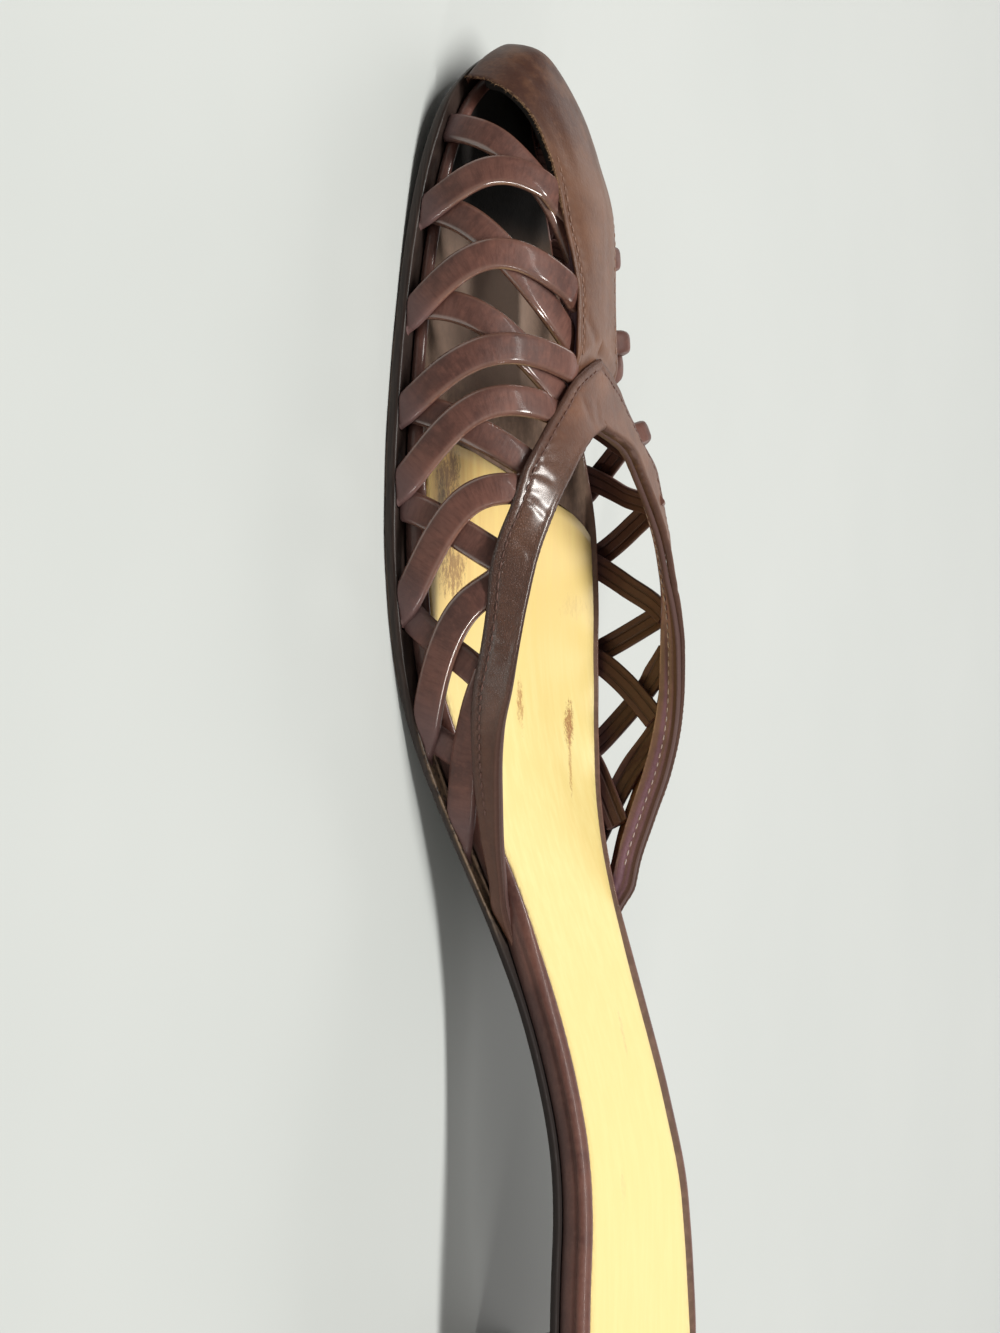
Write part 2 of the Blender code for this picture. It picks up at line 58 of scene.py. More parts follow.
# u, inner y, outer y
SOLE_EDGE = np.array([
    (0.0, -8.5, -8.5), (1.2, -13.0, -4.6), (4.8, -19.2, 1.4), (10.8, -25.2, 7.8),
    (19.2, -29.4, 14.4), (30.0, -32.6, 21.0), (43.2, -35.7, 27.4), (58.0, -38.6, 33.0),
    (72.0, -40.4, 36.8), (84.0, -40.8, 39.0), (96.0, -39.6, 39.8), (108.0, -36.6, 38.6),
    (120.0, -32.4, 34.6), (134.0, -26.6, 28.4), (150.0, -21.6, 23.6), (166.0, -19.6, 22.2),
    (182.0, -20.0, 23.2), (198.0, -21.6, 26.4), (212.0, -22.8, 29.0), (226.0, -23.2, 30.4),
    (238.0, -20.6, 28.4), (248.0, -14.8, 23.0), (254.0, -8.4, 17.0), (257.2, -2.0, 10.8),
    (258.0, 4.0, 4.0)])
# inward, share of the height, share of the drop to the bed, from the underside up
SOLE_TRIM = np.array([
    (0.55, 0.0, 0.0), (0.16, 0.08, 0.0), (0.0, 0.3, 0.0), (0.0, 0.72, 0.0), (0.10, 0.92, 0.0),
    (0.42, 1.0, 0.0)])
MERGE, SLIVER = 2e-6, 1e-6          # metres: closer points become one, shorter edges go


def smooth(t):
    t = np.clip(t, 0.0, 1.0)
    return t * t * (3.0 - 2.0 * t)


def rise(u, start, run):
    """From 0 at the start to 1 a run further on."""
    return smooth((u - start) / run)


def fade(u, start, run):
    return 1.0 - rise(u, start, run)


def through(xs, ys, at):
    """A curve through the rows of a table that never overshoots them."""
    xs = np.asarray(xs, float)
    ys = np.asarray(ys, float)
    step = np.diff(xs)
    slope = np.diff(ys) / step
    rate = np.concatenate([slope[:1], np.zeros(len(xs) - 2), slope[-1:]])
    for i in range(1, len(xs) - 1):
        if slope[i - 1] * slope[i] > 0.0:
            a = 2.0 * step[i] + step[i - 1]
            b = step[i] + 2.0 * step[i - 1]
            rate[i] = (a + b) / (a / slope[i - 1] + b / slope[i])
    k = np.clip(np.searchsorted(xs, at) - 1, 0, len(step) - 1)
    t = np.clip((at - xs[k]) / step[k], 0.0, 1.0)
    keep = (1.0 + 2.0 * t) * (1.0 - t) ** 2 * ys[k] + t * t * (3.0 - 2.0 * t) * ys[k + 1]
    return keep + step[k] * (t * (1.0 - t) ** 2 * rate[k] + t * t * (t - 1.0) * rate[k + 1])


def column(table, c, u):
    """A table column along the foot. The square root of u gives the toe its round end."""
    return through(np.sqrt(table[:, 0]), table[:, c], np.sqrt(np.clip(u, 0.0, None)))


def toe_spring(u):
    return TOE_SPRING * (np.clip(SPRING_END - u, 0.0, None) / SPRING_END) ** SPRING_POWER


def floor_line(u):
    """Underside of the sole: on the floor at the tread, arched up to the heel seat."""
    return toe_spring(u) + SEAT_RISE * rise(u, ARCH_START, ARCH_RUN)


def sole_top(u):
    thick = SOLE_THICK - SHANK_THINNER * rise(u, 100.0, 45.0) - TOE_THINNER * fade(u, 4.0, 14.0)
    return floor_line(u) + thick


def sole_inset(u):
    return TRIM_BACK * fade(u, 110.0, 30.0) + TOE_BACK * fade(u, 3.0, 12.0)


def to_frame(points):
    return (np.asarray(points, float) - (BALL_U, 0.0, 0.0)) * 0.001


def rim_line(inset, side, rows=190):
    """The sole's edge moved inward, square to itself, and the inward direction at each point."""
    t = np.linspace(0.0, 1.0, rows)
    u = LENGTH * (1.0 - np.cos(math.pi * t)) / 2.0
    y = column(SOLE_EDGE, 1 if side < 0 else 2, u)
    du = np.gradient(u, t)
    dy = np.gradient(y, t)
    du[[0, -1]] = 0.0
    dy[[0, -1]] = side, -side
    inward = np.stack([side * dy, -side * du], -1) / np.hypot(du, dy)[:, None]
    return np.stack([u, y], -1) + inset(u)[:, None] * inward, inward, u


class Tone:
    """One socket of a finish. Sums and products of tones add Math nodes to its tree."""

    def __init__(self, tree, socket=None):
        self.tree = tree
        self.socket = socket

    def node(self, kind, settings=None, sockets=None, out=0):
        made = self.tree.nodes.new(kind)
        for key, value in (settings or {}).items():
            setattr(made, key, value)
        for key, value in (sockets or {}).items():
            if isinstance(value, Tone):
                self.tree.links.new(value.socket, made.inputs[key])
            elif made.inputs[key].type == "RGBA":
                made.inputs[key].default_value = tuple(value) + (1.0,)
            else:
                made.inputs[key].default_value = value
        return Tone(self.tree, made.outputs[out])

    def math(self, operation, a, b=0.0):
        return self.node("ShaderNodeMath", {"operation": operation}, {0: a, 1: b})

    def __add__(self, other):
        return self.math("ADD", self, other)

    def __sub__(self, other):
        return self.math("SUBTRACT", self, other)

    def __rsub__(self, other):
        return self.math("SUBTRACT", other, self)

    def __mul__(self, other):
        return self.math("MULTIPLY", self, other)

    __radd__ = __add__
    __rmul__ = __mul__

    def between(self, low, high):
        return self.node("ShaderNodeMapRange", {"interpolation_type": "SMOOTHSTEP"},
                         {"Value": self, "From Min": low, "From Max": high})

    def noise(self, place, scale, detail=3.0, rough=0.55):
        return self.node("ShaderNodeTexNoise", None,
                         {"Vector": place, "Scale": scale, "Detail": detail, "Roughness": rough})

    def blend(self, share, first, second):
        return self.node("ShaderNodeMix", {"data_type": "RGBA"},
                         {0: share, 6: first, 7: second}, out=2)

    def coats(self, colour, *over):
        """A colour with others laid over it in turn, each with its share."""
        for share, coat in over:
            colour = self.blend(share, colour, coat)
        return colour

    def mark(self, name):
        return self.node("ShaderNodeAttribute", {"attribute_name": name}, out="Fac")

    def millimetres(self, stretch=(1.0, 1.0, 1.0)):
        spot = self.node("ShaderNodeTexCoord", out="Object")
        return self.node("ShaderNodeVectorMath", {"operation": "MULTIPLY"},
                         {0: spot, 1: tuple(1000.0 * s for s in stretch)})

    def along(self, place, axis):
        return self.node("ShaderNodeSeparateXYZ", None, {0: place}, out=axis)


def new_finish(name):
    finish = bpy.data.materials.new(name)
    finish.use_nodes = True
    return finish, Tone(finish.node_tree), finish.node_tree.nodes["Principled BSDF"]


def gloss(skin, **fixed):
    """What is the same all over a leather goes on the shader's own sockets."""
    sockets = {"specular": "Specular IOR Level", "coat_rough": "Coat Roughness",
               "coat_ior": "Coat IOR"}
    for key, value in fixed.items():
        skin.inputs[sockets[key]].default_value = value


def seal(tone, skin, colour, rough, height, depth, coat=None):
    """Joins the worked tones to the leather. depth is the height of the grain in millimetres."""
    grain = tone.node("ShaderNodeBump", None,
                      {"Strength": 1.0, "Distance": depth * 0.001, "Height": height}, out="Normal")
    joins = {"Base Color": colour, "Roughness": rough, "Normal": grain, "Coat Weight": coat}
    for key, made in joins.items():
        if isinstance(made, Tone):
            tone.tree.links.new(made.socket, skin.inputs[key])
        elif made is not None:
            skin.inputs[key].default_value = made


def add_object(name, data):
    made = bpy.data.objects.new(name, data)
    bpy.context.scene.collection.objects.link(made)
    return made


def mesh_piece(name, points, faces, finish, **marks):
    """A closed smooth mesh from points in millimetres, with one number a point for each mark."""
    mesh = bpy.data.meshes.new(name)
    mesh.from_pydata(to_frame(points).tolist(), [], faces)
    for label, values in marks.items():
        mark = mesh.attributes.new(label, "FLOAT", "POINT")
        mark.data.foreach_set("value", np.asarray(values, np.float32))
    skin = bmesh.new()
    skin.from_mesh(mesh)
    bmesh.ops.remove_doubles(skin, verts=skin.verts[:], dist=MERGE)
    bmesh.ops.dissolve_degenerate(skin, dist=SLIVER, edges=skin.edges[:])
    bmesh.ops.recalc_face_normals(skin, faces=skin.faces[:])
    for face in skin.faces:
        face.smooth = True
    skin.to_mesh(mesh)
    skin.free()
    mesh.materials.append(finish)
    return add_object(name, mesh)


def fit(piece, node):
    """The finished piece goes on the shoe in place of the plain solid."""
    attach(piece, "root")
    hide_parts(node)


def tube_faces(rows, ring):
    """Faces between rows of points that each go once round a ring."""
    faces = []
    for low in range(0, (rows - 1) * ring, ring):
        high = low + ring
        for k in range(ring):
            after = (k + 1) % ring
            faces.append((low + k, low + after, high + after, high + k))
    return faces


def sole_layer(name, finish, inset, low, high, profile, bed=None, across=10,
               bed_mark=None, under_mark=None):
    """A layer with the sole's outline. profile(u) gives rows of (inward, share of the height, share
    of the way down to the bed inside the rim)."""
    bed = bed or high
    edge = {}
    for side in (-1, 1):
        line, inward, u = rim_line(inset, side)
        shape = profile(u)
        flat = line[:, None, :] + shape[:, :, :1] * inward[:, None, :]
        along = flat[:, :, 0]
        z = low(along) + (high(along) - low(along)) * shape[:, :, 1]
        z = z + (bed(along) - z) * shape[:, :, 2]
        edge[side] = np.concatenate([flat, z[:, :, None]], -1)
    share = np.linspace(0.0, 1.0, across + 1)[1:-1][None, :, None]
    top = edge[-1][:, -1:] * (1.0 - share) + edge[1][:, -1:] * share
    top[:, :, 2] = bed(top[:, :, 0])
    under = edge[1][:, :1] * (1.0 - share) + edge[-1][:, :1] * share
    under[:, :, 2] = low(under[:, :, 0])
    rings = np.concatenate([edge[-1], top, edge[1][:, ::-1], under], 1)
    marks = {}
    for label, row, middle in (("bed", bed_mark, 1.0), ("under", under_mark, 0.0)):
        if row:
            ring = np.concatenate([row, [middle] * (across - 1), row[::-1], [0.0] * (across - 1)])
            marks[label] = np.tile(ring, len(rings))
    faces = tube_faces(len(rings), rings.shape[1])
    return mesh_piece(name, rings.reshape(-1, 3), faces, finish, **marks)


waxed, tone, skin = new_finish("waxed_sole_leather")
gloss(skin, specular=0.28)
mm = tone.millimetres()
x = tone.along(mm, "X")
streak = tone.noise(tone.millimetres((0.25, 0.25, 4.0)), 0.8, 4.0)
scratch = tone.noise(tone.millimetres((0.12, 2.2, 1.0)), 1.0, 4.0, 0.6)
# a pale tan line along the top of the edge behind the ball: painted highlight
lit_edge_line = x.between(38.0, 52.0) * (1.0 - x.between(66.0, 84.0))
lit_edge_line = lit_edge_line * tone.noise(mm, 0.9, 3.0).between(0.30, 0.55) * tone.mark("under")
tread = tone.along(mm, "Z").between(0.5, 0.1) * tone.noise(mm, 0.16, 5.0, 0.65).between(0.35, 0.6)
# the edge along the shank painted near black: painted shade under the arch
shank_shade = x.between(64.0, 80.0) * streak.between(0.1, 0.5)
ink = tone.coats(
    tone.blend(streak.between(0.3, 0.75), (0.020, 0.013, 0.011), (0.045, 0.030, 0.025)),
    (lit_edge_line * 0.8, (0.36, 0.24, 0.15)),
    (tread * 0.8, (0.16, 0.105, 0.072)),
    (shank_shade * 0.9, (0.016, 0.011, 0.010)))
rough = 0.24 + streak * 0.2 + tread * 0.35 + shank_shade * 0.35
seal(tone, skin, ink, rough, streak * 0.5 + scratch * 0.5, 0.05)
outsole = sole_layer(
    "outsole_leather", waxed, sole_inset, floor_line, sole_top,
    lambda u: np.tile(SOLE_TRIM, (len(u), 1, 1)), under_mark=[0.0, 0.0, 0.0, 0.1, 1.0, 0.7])
fit(outsole, "outsole")


# The footbed is a board wrapped in thin brown leather. Between the straps only a low round rim
# shows. Along the shank the wrap is pulled over it, with a crease above the thin wall below.
BED_HIGH, BED_RISE, BED_START, BED_RUN = 5.4, 22.2, 98.8, 103.0
RIM_INSET, SHANK_OUT = 3.6, 3.0         # in from the sole's edge, and out again along the shank
RIM_HIGH, TOE_LOWER, SHANK_LOWER = 0.32, 1.6, 0.2       # over the sock's face
BOARD_DEEP, TOE_DEEPER = 1.0, 0.35      # under the sock's face
GLUE = 0.06
# inward, share of the height, share of the drop to the bed, from the underside up
RIM_FORE = np.array([
    (0.90, 0.00, 0.0), (0.50, 0.03, 0.0), (0.24, 0.09, 0.0), (0.10, 0.18, 0.0), (0.03, 0.28, 0.0),
    (0.00, 0.38, 0.0), (0.02, 0.48, 0.0), (0.07, 0.58, 0.0), (0.16, 0.69, 0.0), (0.32, 0.81, 0.0),
    (0.54, 0.92, 0.0), (0.80, 0.98, 0.0), (1.02, 1.00, 0.0), (1.25, 0.96, 0.0), (1.40, 0.96, 1.0)])
RIM_SHANK = np.array([
    (0.90, 0.00, 0.0), (0.62, 0.02, 0.0), (0.46, 0.08, 0.0), (0.38, 0.22, 0.0), (0.36, 0.40, 0.0),
    (0.40, 0.55, 0.0), (0.62, 0.605, 0.0), (0.30, 0.64, 0.0), (0.22, 0.70, 0.0), (0.34, 0.79, 0.0),
    (0.78, 0.895, 0.0), (1.45, 0.97, 0.0), (2.15, 1.00, 0.0), (2.62, 0.98, 0.0), (2.85, 0.98, 1.0)])


def sock_top(u):
    return BED_HIGH + toe_spring(u) + BED_RISE * rise(u, BED_START, BED_RUN)


def wrap_inset(u):
    return RIM_INSET - SHANK_OUT * rise(u, 137.0, 28.0)


def shank_share(u):
    return rise(u, 142.0, 22.0)


def rim_height(u):
    return sock_top(u) + RIM_HIGH - TOE_LOWER * fade(u, 56.0, 26.0) - SHANK_LOWER * shank_share(u)


def board_top(u):
    return sock_top(u) - BOARD_DEEP - TOE_DEEPER * fade(u, 48.0, 14.0)


def rim_profile(u):
    return RIM_FORE + (RIM_SHANK - RIM_FORE) * shank_share(u)[:, None, None]


def tanned(name, specular=0.5, coat_rough=0.16, **fixed):
    """The parts of a smooth pigmented leather: clouds of two browns, fine pebble, even gloss."""
    finish, tone, skin = new_finish(name)
    gloss(skin, specular=specular, coat_rough=coat_rough, **fixed)
    mm = tone.millimetres()
    cells = tone.node("ShaderNodeTexVoronoi", {"feature": "SMOOTH_F1"},
                      {"Vector": mm, "Scale": 1.7, "Smoothness": 0.55}, out="Distance")
    return SimpleNamespace(
        finish=finish, tone=tone, skin=skin, mm=mm,
        cloud=tone.noise(mm, 0.085, 5.0, 0.62).between(0.34, 0.66),
        mottle=tone.noise(mm, 0.55, 4.0, 0.6),
        pebble=cells * 0.7 + tone.noise(mm, 4.5, 3.0, 0.6) * 0.5)


wrap = tanned("footbed_wrap_leather", specular=0.32, coat_rough=0.12)
tone, mottle = wrap.tone, wrap.mottle
x, y = tone.along(wrap.mm, "X"), tone.along(wrap.mm, "Y")
bed = tone.mark("bed")
# pale patch on the bed ahead of the sock, weaker on the better lit inner side: painted light
lit_bed_and_hem_thread = x.between(-13.0, -23.0) * y.between(16.0, -2.0) * (0.4 + y.between(-27.0, -12.0) * 0.6)
toe_shade = x.between(-36.0, -48.0)
board = tone.coats(
    tone.blend(mottle.between(0.3, 0.8), (0.150, 0.098, 0.070), (0.240, 0.155, 0.112)),
    (lit_bed_and_hem_thread * 0.8, (0.46, 0.33, 0.26)),
    (toe_shade, (0.008, 0.006, 0.005)))
colour = tone.coats(
    tone.blend(wrap.cloud, (0.088, 0.034, 0.027), (0.155, 0.064, 0.047)),
    (mottle.between(0.45, 0.75) * 0.5, (0.185, 0.086, 0.064)),
    (tone.mark("under") * 0.75, (0.082, 0.052, 0.048)),
    (bed, board))
seal(tone, wrap.skin, colour, 0.44 + mottle * 0.16 + bed * 0.4, wrap.pebble, 0.06,
     (0.5 - x.between(66.0, 84.0) * 0.42) * (1.0 - bed))
footbed = sole_layer(
    "footbed_wrap", wrap.finish, wrap_inset, lambda u: sole_top(u) + GLUE, rim_height, rim_profile,
    bed=board_top, across=16, bed_mark=[0.0] * 13 + [0.6, 1.0],
    under_mark=[1.0] * 3 + [0.6, 0.4, 0.25, 0.15, 0.05] + [0.0] * 7)
fit(footbed, "footbed")


# The sock is a sheet of pale yellow leather glued on the footbed, cut slanting behind the toes. It
# is clean along the shank, where it is painted a little darker and more orange, painted shade to
# hold down the stronger light there. It is browned where the toes rubbed, with warm orange painted
# over that as bounce light in the shade of the near arm, and scuffed twice at the ball.
SOCK_THICK = 0.7
SOCK_FRONT = {-1: (66.5, 2.5), 1: (79.5, 2.8)}     # u at the edge, rounding of the corner
SOCK_INSET, SHANK_INSET = 2.2, 0.5                 # bare rim beside the sock, more along the shank
OUTER_INSET = {-1: 0.0, 1: 1.75}                   # and more still on the outer side
SOCK_ROWS, SOCK_ACROSS = 120, 26
# the band along the cut is darkened for its fibres and as painted shade where it meets the rim
BORDER_SHARE = 0.016                               # of the width, browned along the cut


def sock_inset(u, side):
    more = SHANK_INSET + OUTER_INSET[side] * fade(u, 215.0, 36.0)
    return wrap_inset(u) + SOCK_INSET + more * shank_share(u)


run = np.sin(np.linspace(0.0, math.pi / 2.0, SOCK_ROWS))
sock_edge = {}
for side in (-1, 1):
    line = rim_line(lambda u: sock_inset(u, side), side, 400)[0]
    u = SOCK_FRONT[side][0] + (line[-1, 0] - SOCK_FRONT[side][0]) * run
    sock_edge[side] = np.stack([u, np.interp(u, line[:, 0], line[:, 1])], -1)
# share of the way across, share of the thickness, round the sheet from the inner edge over the top
top_share = np.linspace(0.0, 1.0, SOCK_ACROSS)
ring = [(0.0, 0.0), (0.0, 0.6), (0.004, 0.9)] + [(0.012 + 0.976 * s, 1.0) for s in top_share]
ring += [(0.996, 0.9), (1.0, 0.6), (1.0, 0.0)] + [(1.0 - s, 0.0) for s in top_share[1:-1]]
ring = np.array(ring)
over = ring[None, :, :1]
flat = sock_edge[-1][:, None, :] * (1.0 - over) + sock_edge[1][:, None, :] * over
corner = SOCK_FRONT[-1][1] * (1.0 - ring[:, 0]) ** 14 + SOCK_FRONT[1][1] * ring[:, 0] ** 14
flat[:, :, 0] += corner[None, :] * (1.0 - run[:, None]) ** 6
z = sock_top(flat[:, :, 0]) - SOCK_THICK * (1.0 - ring[None, :, 1])
sheet = np.concatenate([flat, z[:, :, None]], -1)
faces = tube_faces(SOCK_ROWS, len(ring)) + [tuple(range(len(ring)))]

pale, tone, skin = new_finish("pale_sock_leather")
gloss(skin, coat_rough=0.35)
mm = tone.millimetres()
x, y = tone.along(mm, "X"), tone.along(mm, "Y")
streak = tone.noise(tone.millimetres((0.10, 0.9, 1.0)), 0.55, 5.0, 0.6)
fibre = tone.noise(tone.millimetres((0.5, 1.6, 1.0)), 1.5, 3.0)
# browned where the toes rubbed, and painted warm orange as bounce light in the near arm's shade
toe_wear_and_bounce = x.between(48.0, -2.0) * (0.55 + y.between(-6.0, -24.0) * 0.45)
colour = tone.coats(
    tone.blend(streak.between(0.35, 0.75), (0.86, 0.69, 0.268), (0.90, 0.755, 0.325)),
    # a little darker and more orange toward the shank, where the light falls strongest: painted
    # shade
    (x.between(30.0, 110.0) * 0.6, (0.84, 0.64, 0.245)),
    (toe_wear_and_bounce * (0.35 + streak.between(0.25, 0.7) * 0.5), (0.66, 0.36, 0.085)))


def smudge(middle, half, lean, edge, scale):
    """A rubbed mark: a speckled, broken oval round (x, y), leaning inward to the heel."""
    across = (x - middle[0]) * (1.0 / half[0])
    deep = (y - middle[1] + (x - middle[0]) * lean) * (1.0 / half[1])
    broken = tone.noise(tone.millimetres((0.5, 1.0, 1.0)), scale * 1.6, 7.0, 0.85)
    return (across * across + deep * deep + broken * 7.0 - 3.4).between(1.0, 1.0 - edge)


# x, y of the middle, half length, half width, lean, softness, speck scale, strength, colour
SMUDGES = [
    (-1.2, -27.5, 6.0, 4.8, 0.0, 1.0, 0.60, 0.90, (0.25, 0.112, 0.032)),
    (14.8, -26.0, 5.2, 5.6, 0.0, 1.0, 0.60, 0.80, (0.26, 0.120, 0.036)),
    (6.0, -30.0, 10.0, 3.2, 0.0, 1.6, 0.50, 0.55, (0.36, 0.19, 0.055)),
    (41.2, 18.4, 4.4, 2.2, 0.40, 0.8, 1.30, 0.90, (0.34, 0.125, 0.034)),
    (48.2, 15.6, 6.0, 0.7, 0.45, 0.9, 1.20, 0.65, (0.44, 0.19, 0.054)),
    (37.2, -1.2, 4.6, 1.5, 0.20, 1.0, 0.95, 0.85, (0.46, 0.22, 0.060)),
    (20.0, 24.0, 2.6, 7.0, 0.0, 1.6, 0.60, 0.30, (0.50, 0.33, 0.130)),
    (94.0, 6.8, 4.5, 0.8, 0.1, 1.4, 0.90, 0.35, (0.56, 0.38, 0.160)),
    (119.0, -4.8, 3.6, 1.4, 0.1, 1.6, 0.90, 0.30, (0.58, 0.40, 0.170))]
for mx, my, long, wide, lean, edge, scale, strength, stain in SMUDGES:
    mark = smudge((mx, my), (long, wide), lean, edge, scale)
    colour = tone.blend(mark * strength, colour, stain)
# brown fibres along the cut, darkened further as painted shade where the sock meets the rim
fringe_and_edge_shade = tone.mark("border") * fibre.between(0.3, 0.6)
colour = tone.blend(fringe_and_edge_shade * 0.8, colour, (0.30, 0.20, 0.065))
seal(tone, skin, colour, 0.46 + fibre * 0.16, fibre * 0.6 + streak * 0.4, 0.035, 0.08)
from_cut = np.minimum(ring[:, 0], 1.0 - ring[:, 0])
border = np.tile(np.clip(1.0 - from_cut / BORDER_SHARE, 0.0, 1.0), SOCK_ROWS)
fit(mesh_piece("sock_sheet", sheet.reshape(-1, 3), faces, pale, border=border), "sock_lining")


# The lining backs toe piece and collar. It is thin purplish brown leather, seamed to them along the
# top line, and it swells lower down where the ends of the straps lie under it.
THROAT_U, APEX_U, ARM_END = 66.0, 54.0, 157.0
FEATHER_INSET, FEATHER_LIFT = 0.6, 0.3      # the feather line from the sole's edge and its top
ARM_TAPER = {-1: (140.0, 17.0), 1: (145.0, 12.0)}       # u where an arm narrows, and its run
ARM_DIVE = 2.4                              # the ends of the arms go in behind the footbed's wall
OUTER_FLARE = 1.5                           # the outer arm's lower edge stands off
LINING_TRIM, OUTER_TRIM = 0.17, 0.17        # shares of the band, cut back from its lower edge
LINING_FACE, LINING_BACK = -0.70, -1.75     # offsets from the last
LINING_SEAM = 1.9                           # its stitches lie this far from the top line
# u, ridge y, ridge height, inner squareness, outer squareness, inner bulge, outer bulge, sag
LAST = np.array([
    (0.0, -8.5, 0.0, 2.0, 2.0, 0.0, 0.0, 0.0), (1.2, -8.5, 6.3, 2.0, 2.0, 0.4, 0.4, 0.0),
    (4.8, -8.5, 10.4, 2.1, 1.9, 0.8, 0.8, 0.0), (10.8, -8.5, 14.4, 2.2, 1.8, 1.0, 1.0, 0.0),
    (19.2, -8.5, 18.2, 2.3, 1.7, 1.0, 1.0, 0.0), (30.0, -8.5, 21.9, 2.4, 1.6, 1.0, 1.0, 0.0),
    (43.2, -8.5, 22.6, 2.4, 1.5, 0.8, 1.6, 0.0), (58.0, -9.0, 22.4, 2.4, 1.6, 0.6, 2.6, 0.0),
    (72.0, -9.0, 25.6, 2.4, 1.9, 0.6, 2.0, 1.0), (84.0, -8.0, 30.0, 2.4, 2.2, 0.8, 1.0, 1.0),
    (96.0, -6.0, 34.0, 2.4, 2.4, 1.2, 0.6, 1.0), (108.0, -3.0, 37.5, 2.4, 2.4, 2.0, 0.6, 0.0),
    (120.0, 0.0, 41.0, 2.4, 2.4, 2.4, 0.8, 0.0), (134.0, 2.0, 46.0, 2.4, 2.4, 2.4, 1.0, 0.0),
    (150.0, 2.0, 52.0, 2.4, 2.4, 1.0, 0.4, 0.0), (166.0, 2.0, 58.0, 2.4, 2.4, 0.0, 0.0, 0.0)])
# lower edge of toe piece and collar, u and angle, for each side of the foot
LOW_EDGE = {
    -1: np.array([
        (0.0, 0.0), (6.8, 0.0), (8.2, 21.5), (11.8, 44.0), (15.2, 53.5), (22.5, 61.5), (27.5, 63.0),
        (32.0, 66.0), (38.5, 72.0), (44.5, 76.0), (52.5, 77.0), (57.0, 77.0), (60.0, 72.0),
        (66.0, 59.0), (71.0, 49.0), (74.5, 43.0), (79.5, 36.5), (84.5, 30.0), (90.0, 25.0),
        (97.5, 21.2), (103.0, 18.0), (109.5, 13.7), (118.0, 9.4), (127.0, 5.6), (134.5, 3.0),
        (141.0, 1.4), (147.0, 0.0), (160.0, 0.0)]),
    1: np.array([
        (0.0, 0.0), (14.0, 0.0), (14.7, 17.0), (16.0, 35.0), (18.0, 43.5), (22.5, 52.5),
        (27.5, 57.0), (32.0, 62.0), (38.5, 68.0), (44.5, 71.0), (52.5, 72.0), (57.0, 72.0),
        (60.0, 68.0), (64.0, 58.5), (68.0, 50.0), (74.0, 41.0), (80.0, 34.0), (86.0, 29.0),
        (96.0, 24.0), (104.0, 21.0), (110.0, 19.0), (118.0, 15.0), (129.0, 8.5), (135.5, 4.8),
        (141.0, 2.6), (146.0, 0.8), (149.0, 0.0), (160.0, 0.0)])}
# top line of the collar from the throat back, u and angle
TOP_LINE = {
    -1: np.array([
        (66.0, 90.0), (68.5, 79.5), (75.0, 63.5), (80.5, 52.5), (88.0, 41.8), (95.5, 34.6),
        (102.5, 29.2), (109.5, 23.8), (116.0, 18.0), (127.0, 10.5), (135.5, 5.8), (142.0, 3.2),
        (149.5, 1.6), (160.0, 1.2)]),
    1: np.array([
        (66.0, 90.0), (68.0, 74.0), (71.5, 61.0), (80.5, 47.5), (86.0, 42.0), (90.0, 38.0),
        (98.0, 32.5), (106.0, 30.0), (115.5, 26.0), (125.0, 19.6), (133.0, 13.3), (140.4, 8.2),
        (143.0, 6.9), (146.0, 5.6), (149.0, 4.2), (160.0, 1.6)])}


def last_point(u, angle, side):
    """Points of the last. side is -1 for the inner and 1 for the outer half of the foot."""
    u = np.clip(u, 0.0, None)
    a = np.radians(np.clip(angle, 0.0, 90.0))
    ridge = column(LAST, 1, u)
    power = 2.0 / column(LAST, 3 if side < 0 else 4, u)
    edge = column(SOLE_EDGE, 1 if side < 0 else 2, u) - side * FEATHER_INSET * smooth(u / 8.0)
    up = np.sin(a) ** power
    bulge = side * column(LAST, 5 if side < 0 else 6, u) * np.sin(2.0 * a)
    y = ridge + (edge - ridge) * np.clip(np.cos(a), 0.0, 1.0) ** power + bulge
    sag = column(LAST, 7, u) * np.exp(-((y - ridge) / 8.0) ** 2)
    z = sole_top(u) + FEATHER_LIFT + (column(LAST, 2, u) - sag) * up
    return np.stack(np.broadcast_arrays(u, y, z), -1)


def unit(v):
    return v / np.linalg.norm(v, axis=-1, keepdims=True)


def last_normal(u, angle, side):
    """Outward normal of the last, eased over the ridge from one half of the foot to the other."""
    step, turn, crest_angle = 0.05, 0.8, 88.0
    root = np.sqrt(np.clip(u, 0.02, None))

    def half_normal(a, half):
        ahead = last_point((root + step) ** 2, a, half)
        behind = last_point(np.clip(root - step, 0.02, None) ** 2, a, half)
        climb = last_point(root * root, a + turn, half) - last_point(root * root, a - turn, half)
        return unit(np.cross(climb, ahead - behind) * half)

    angle = np.broadcast_to(angle, np.shape(root))
    own = half_normal(np.clip(angle, 1.0, crest_angle), side)
    ridge = np.full(np.shape(root), crest_angle)
    crest = unit(half_normal(ridge, -1) + half_normal(ridge, 1))
    ease = rise(angle, 78.0, 12.0)[..., None]
    return unit(own * (1.0 - ease) + crest * ease)


def on_last(u, angle, side, offset):
    return last_point(u, angle, side) + np.asarray(offset)[..., None] * last_normal(u, angle, side)


def low_angle(u, side):
    return through(*LOW_EDGE[side].T, u)


def top_angle(u, side):
    taper = 1.0 - 0.85 * rise(u, *ARM_TAPER[side])
    return np.where(u <= THROAT_U, 90.0, through(*TOP_LINE[side].T, u) * taper)


def ridge_angle(u, side):
    return 90.0


def lining_low(u, side):
    """The lining is trimmed back from the lower edge of the arms, more so on the outer side."""
    low = low_angle(u, side)
    trim = LINING_TRIM + OUTER_TRIM * rise(u, 62.0, 6.0) * (side > 0)
    return low + (top_angle(u, side) - low) * trim


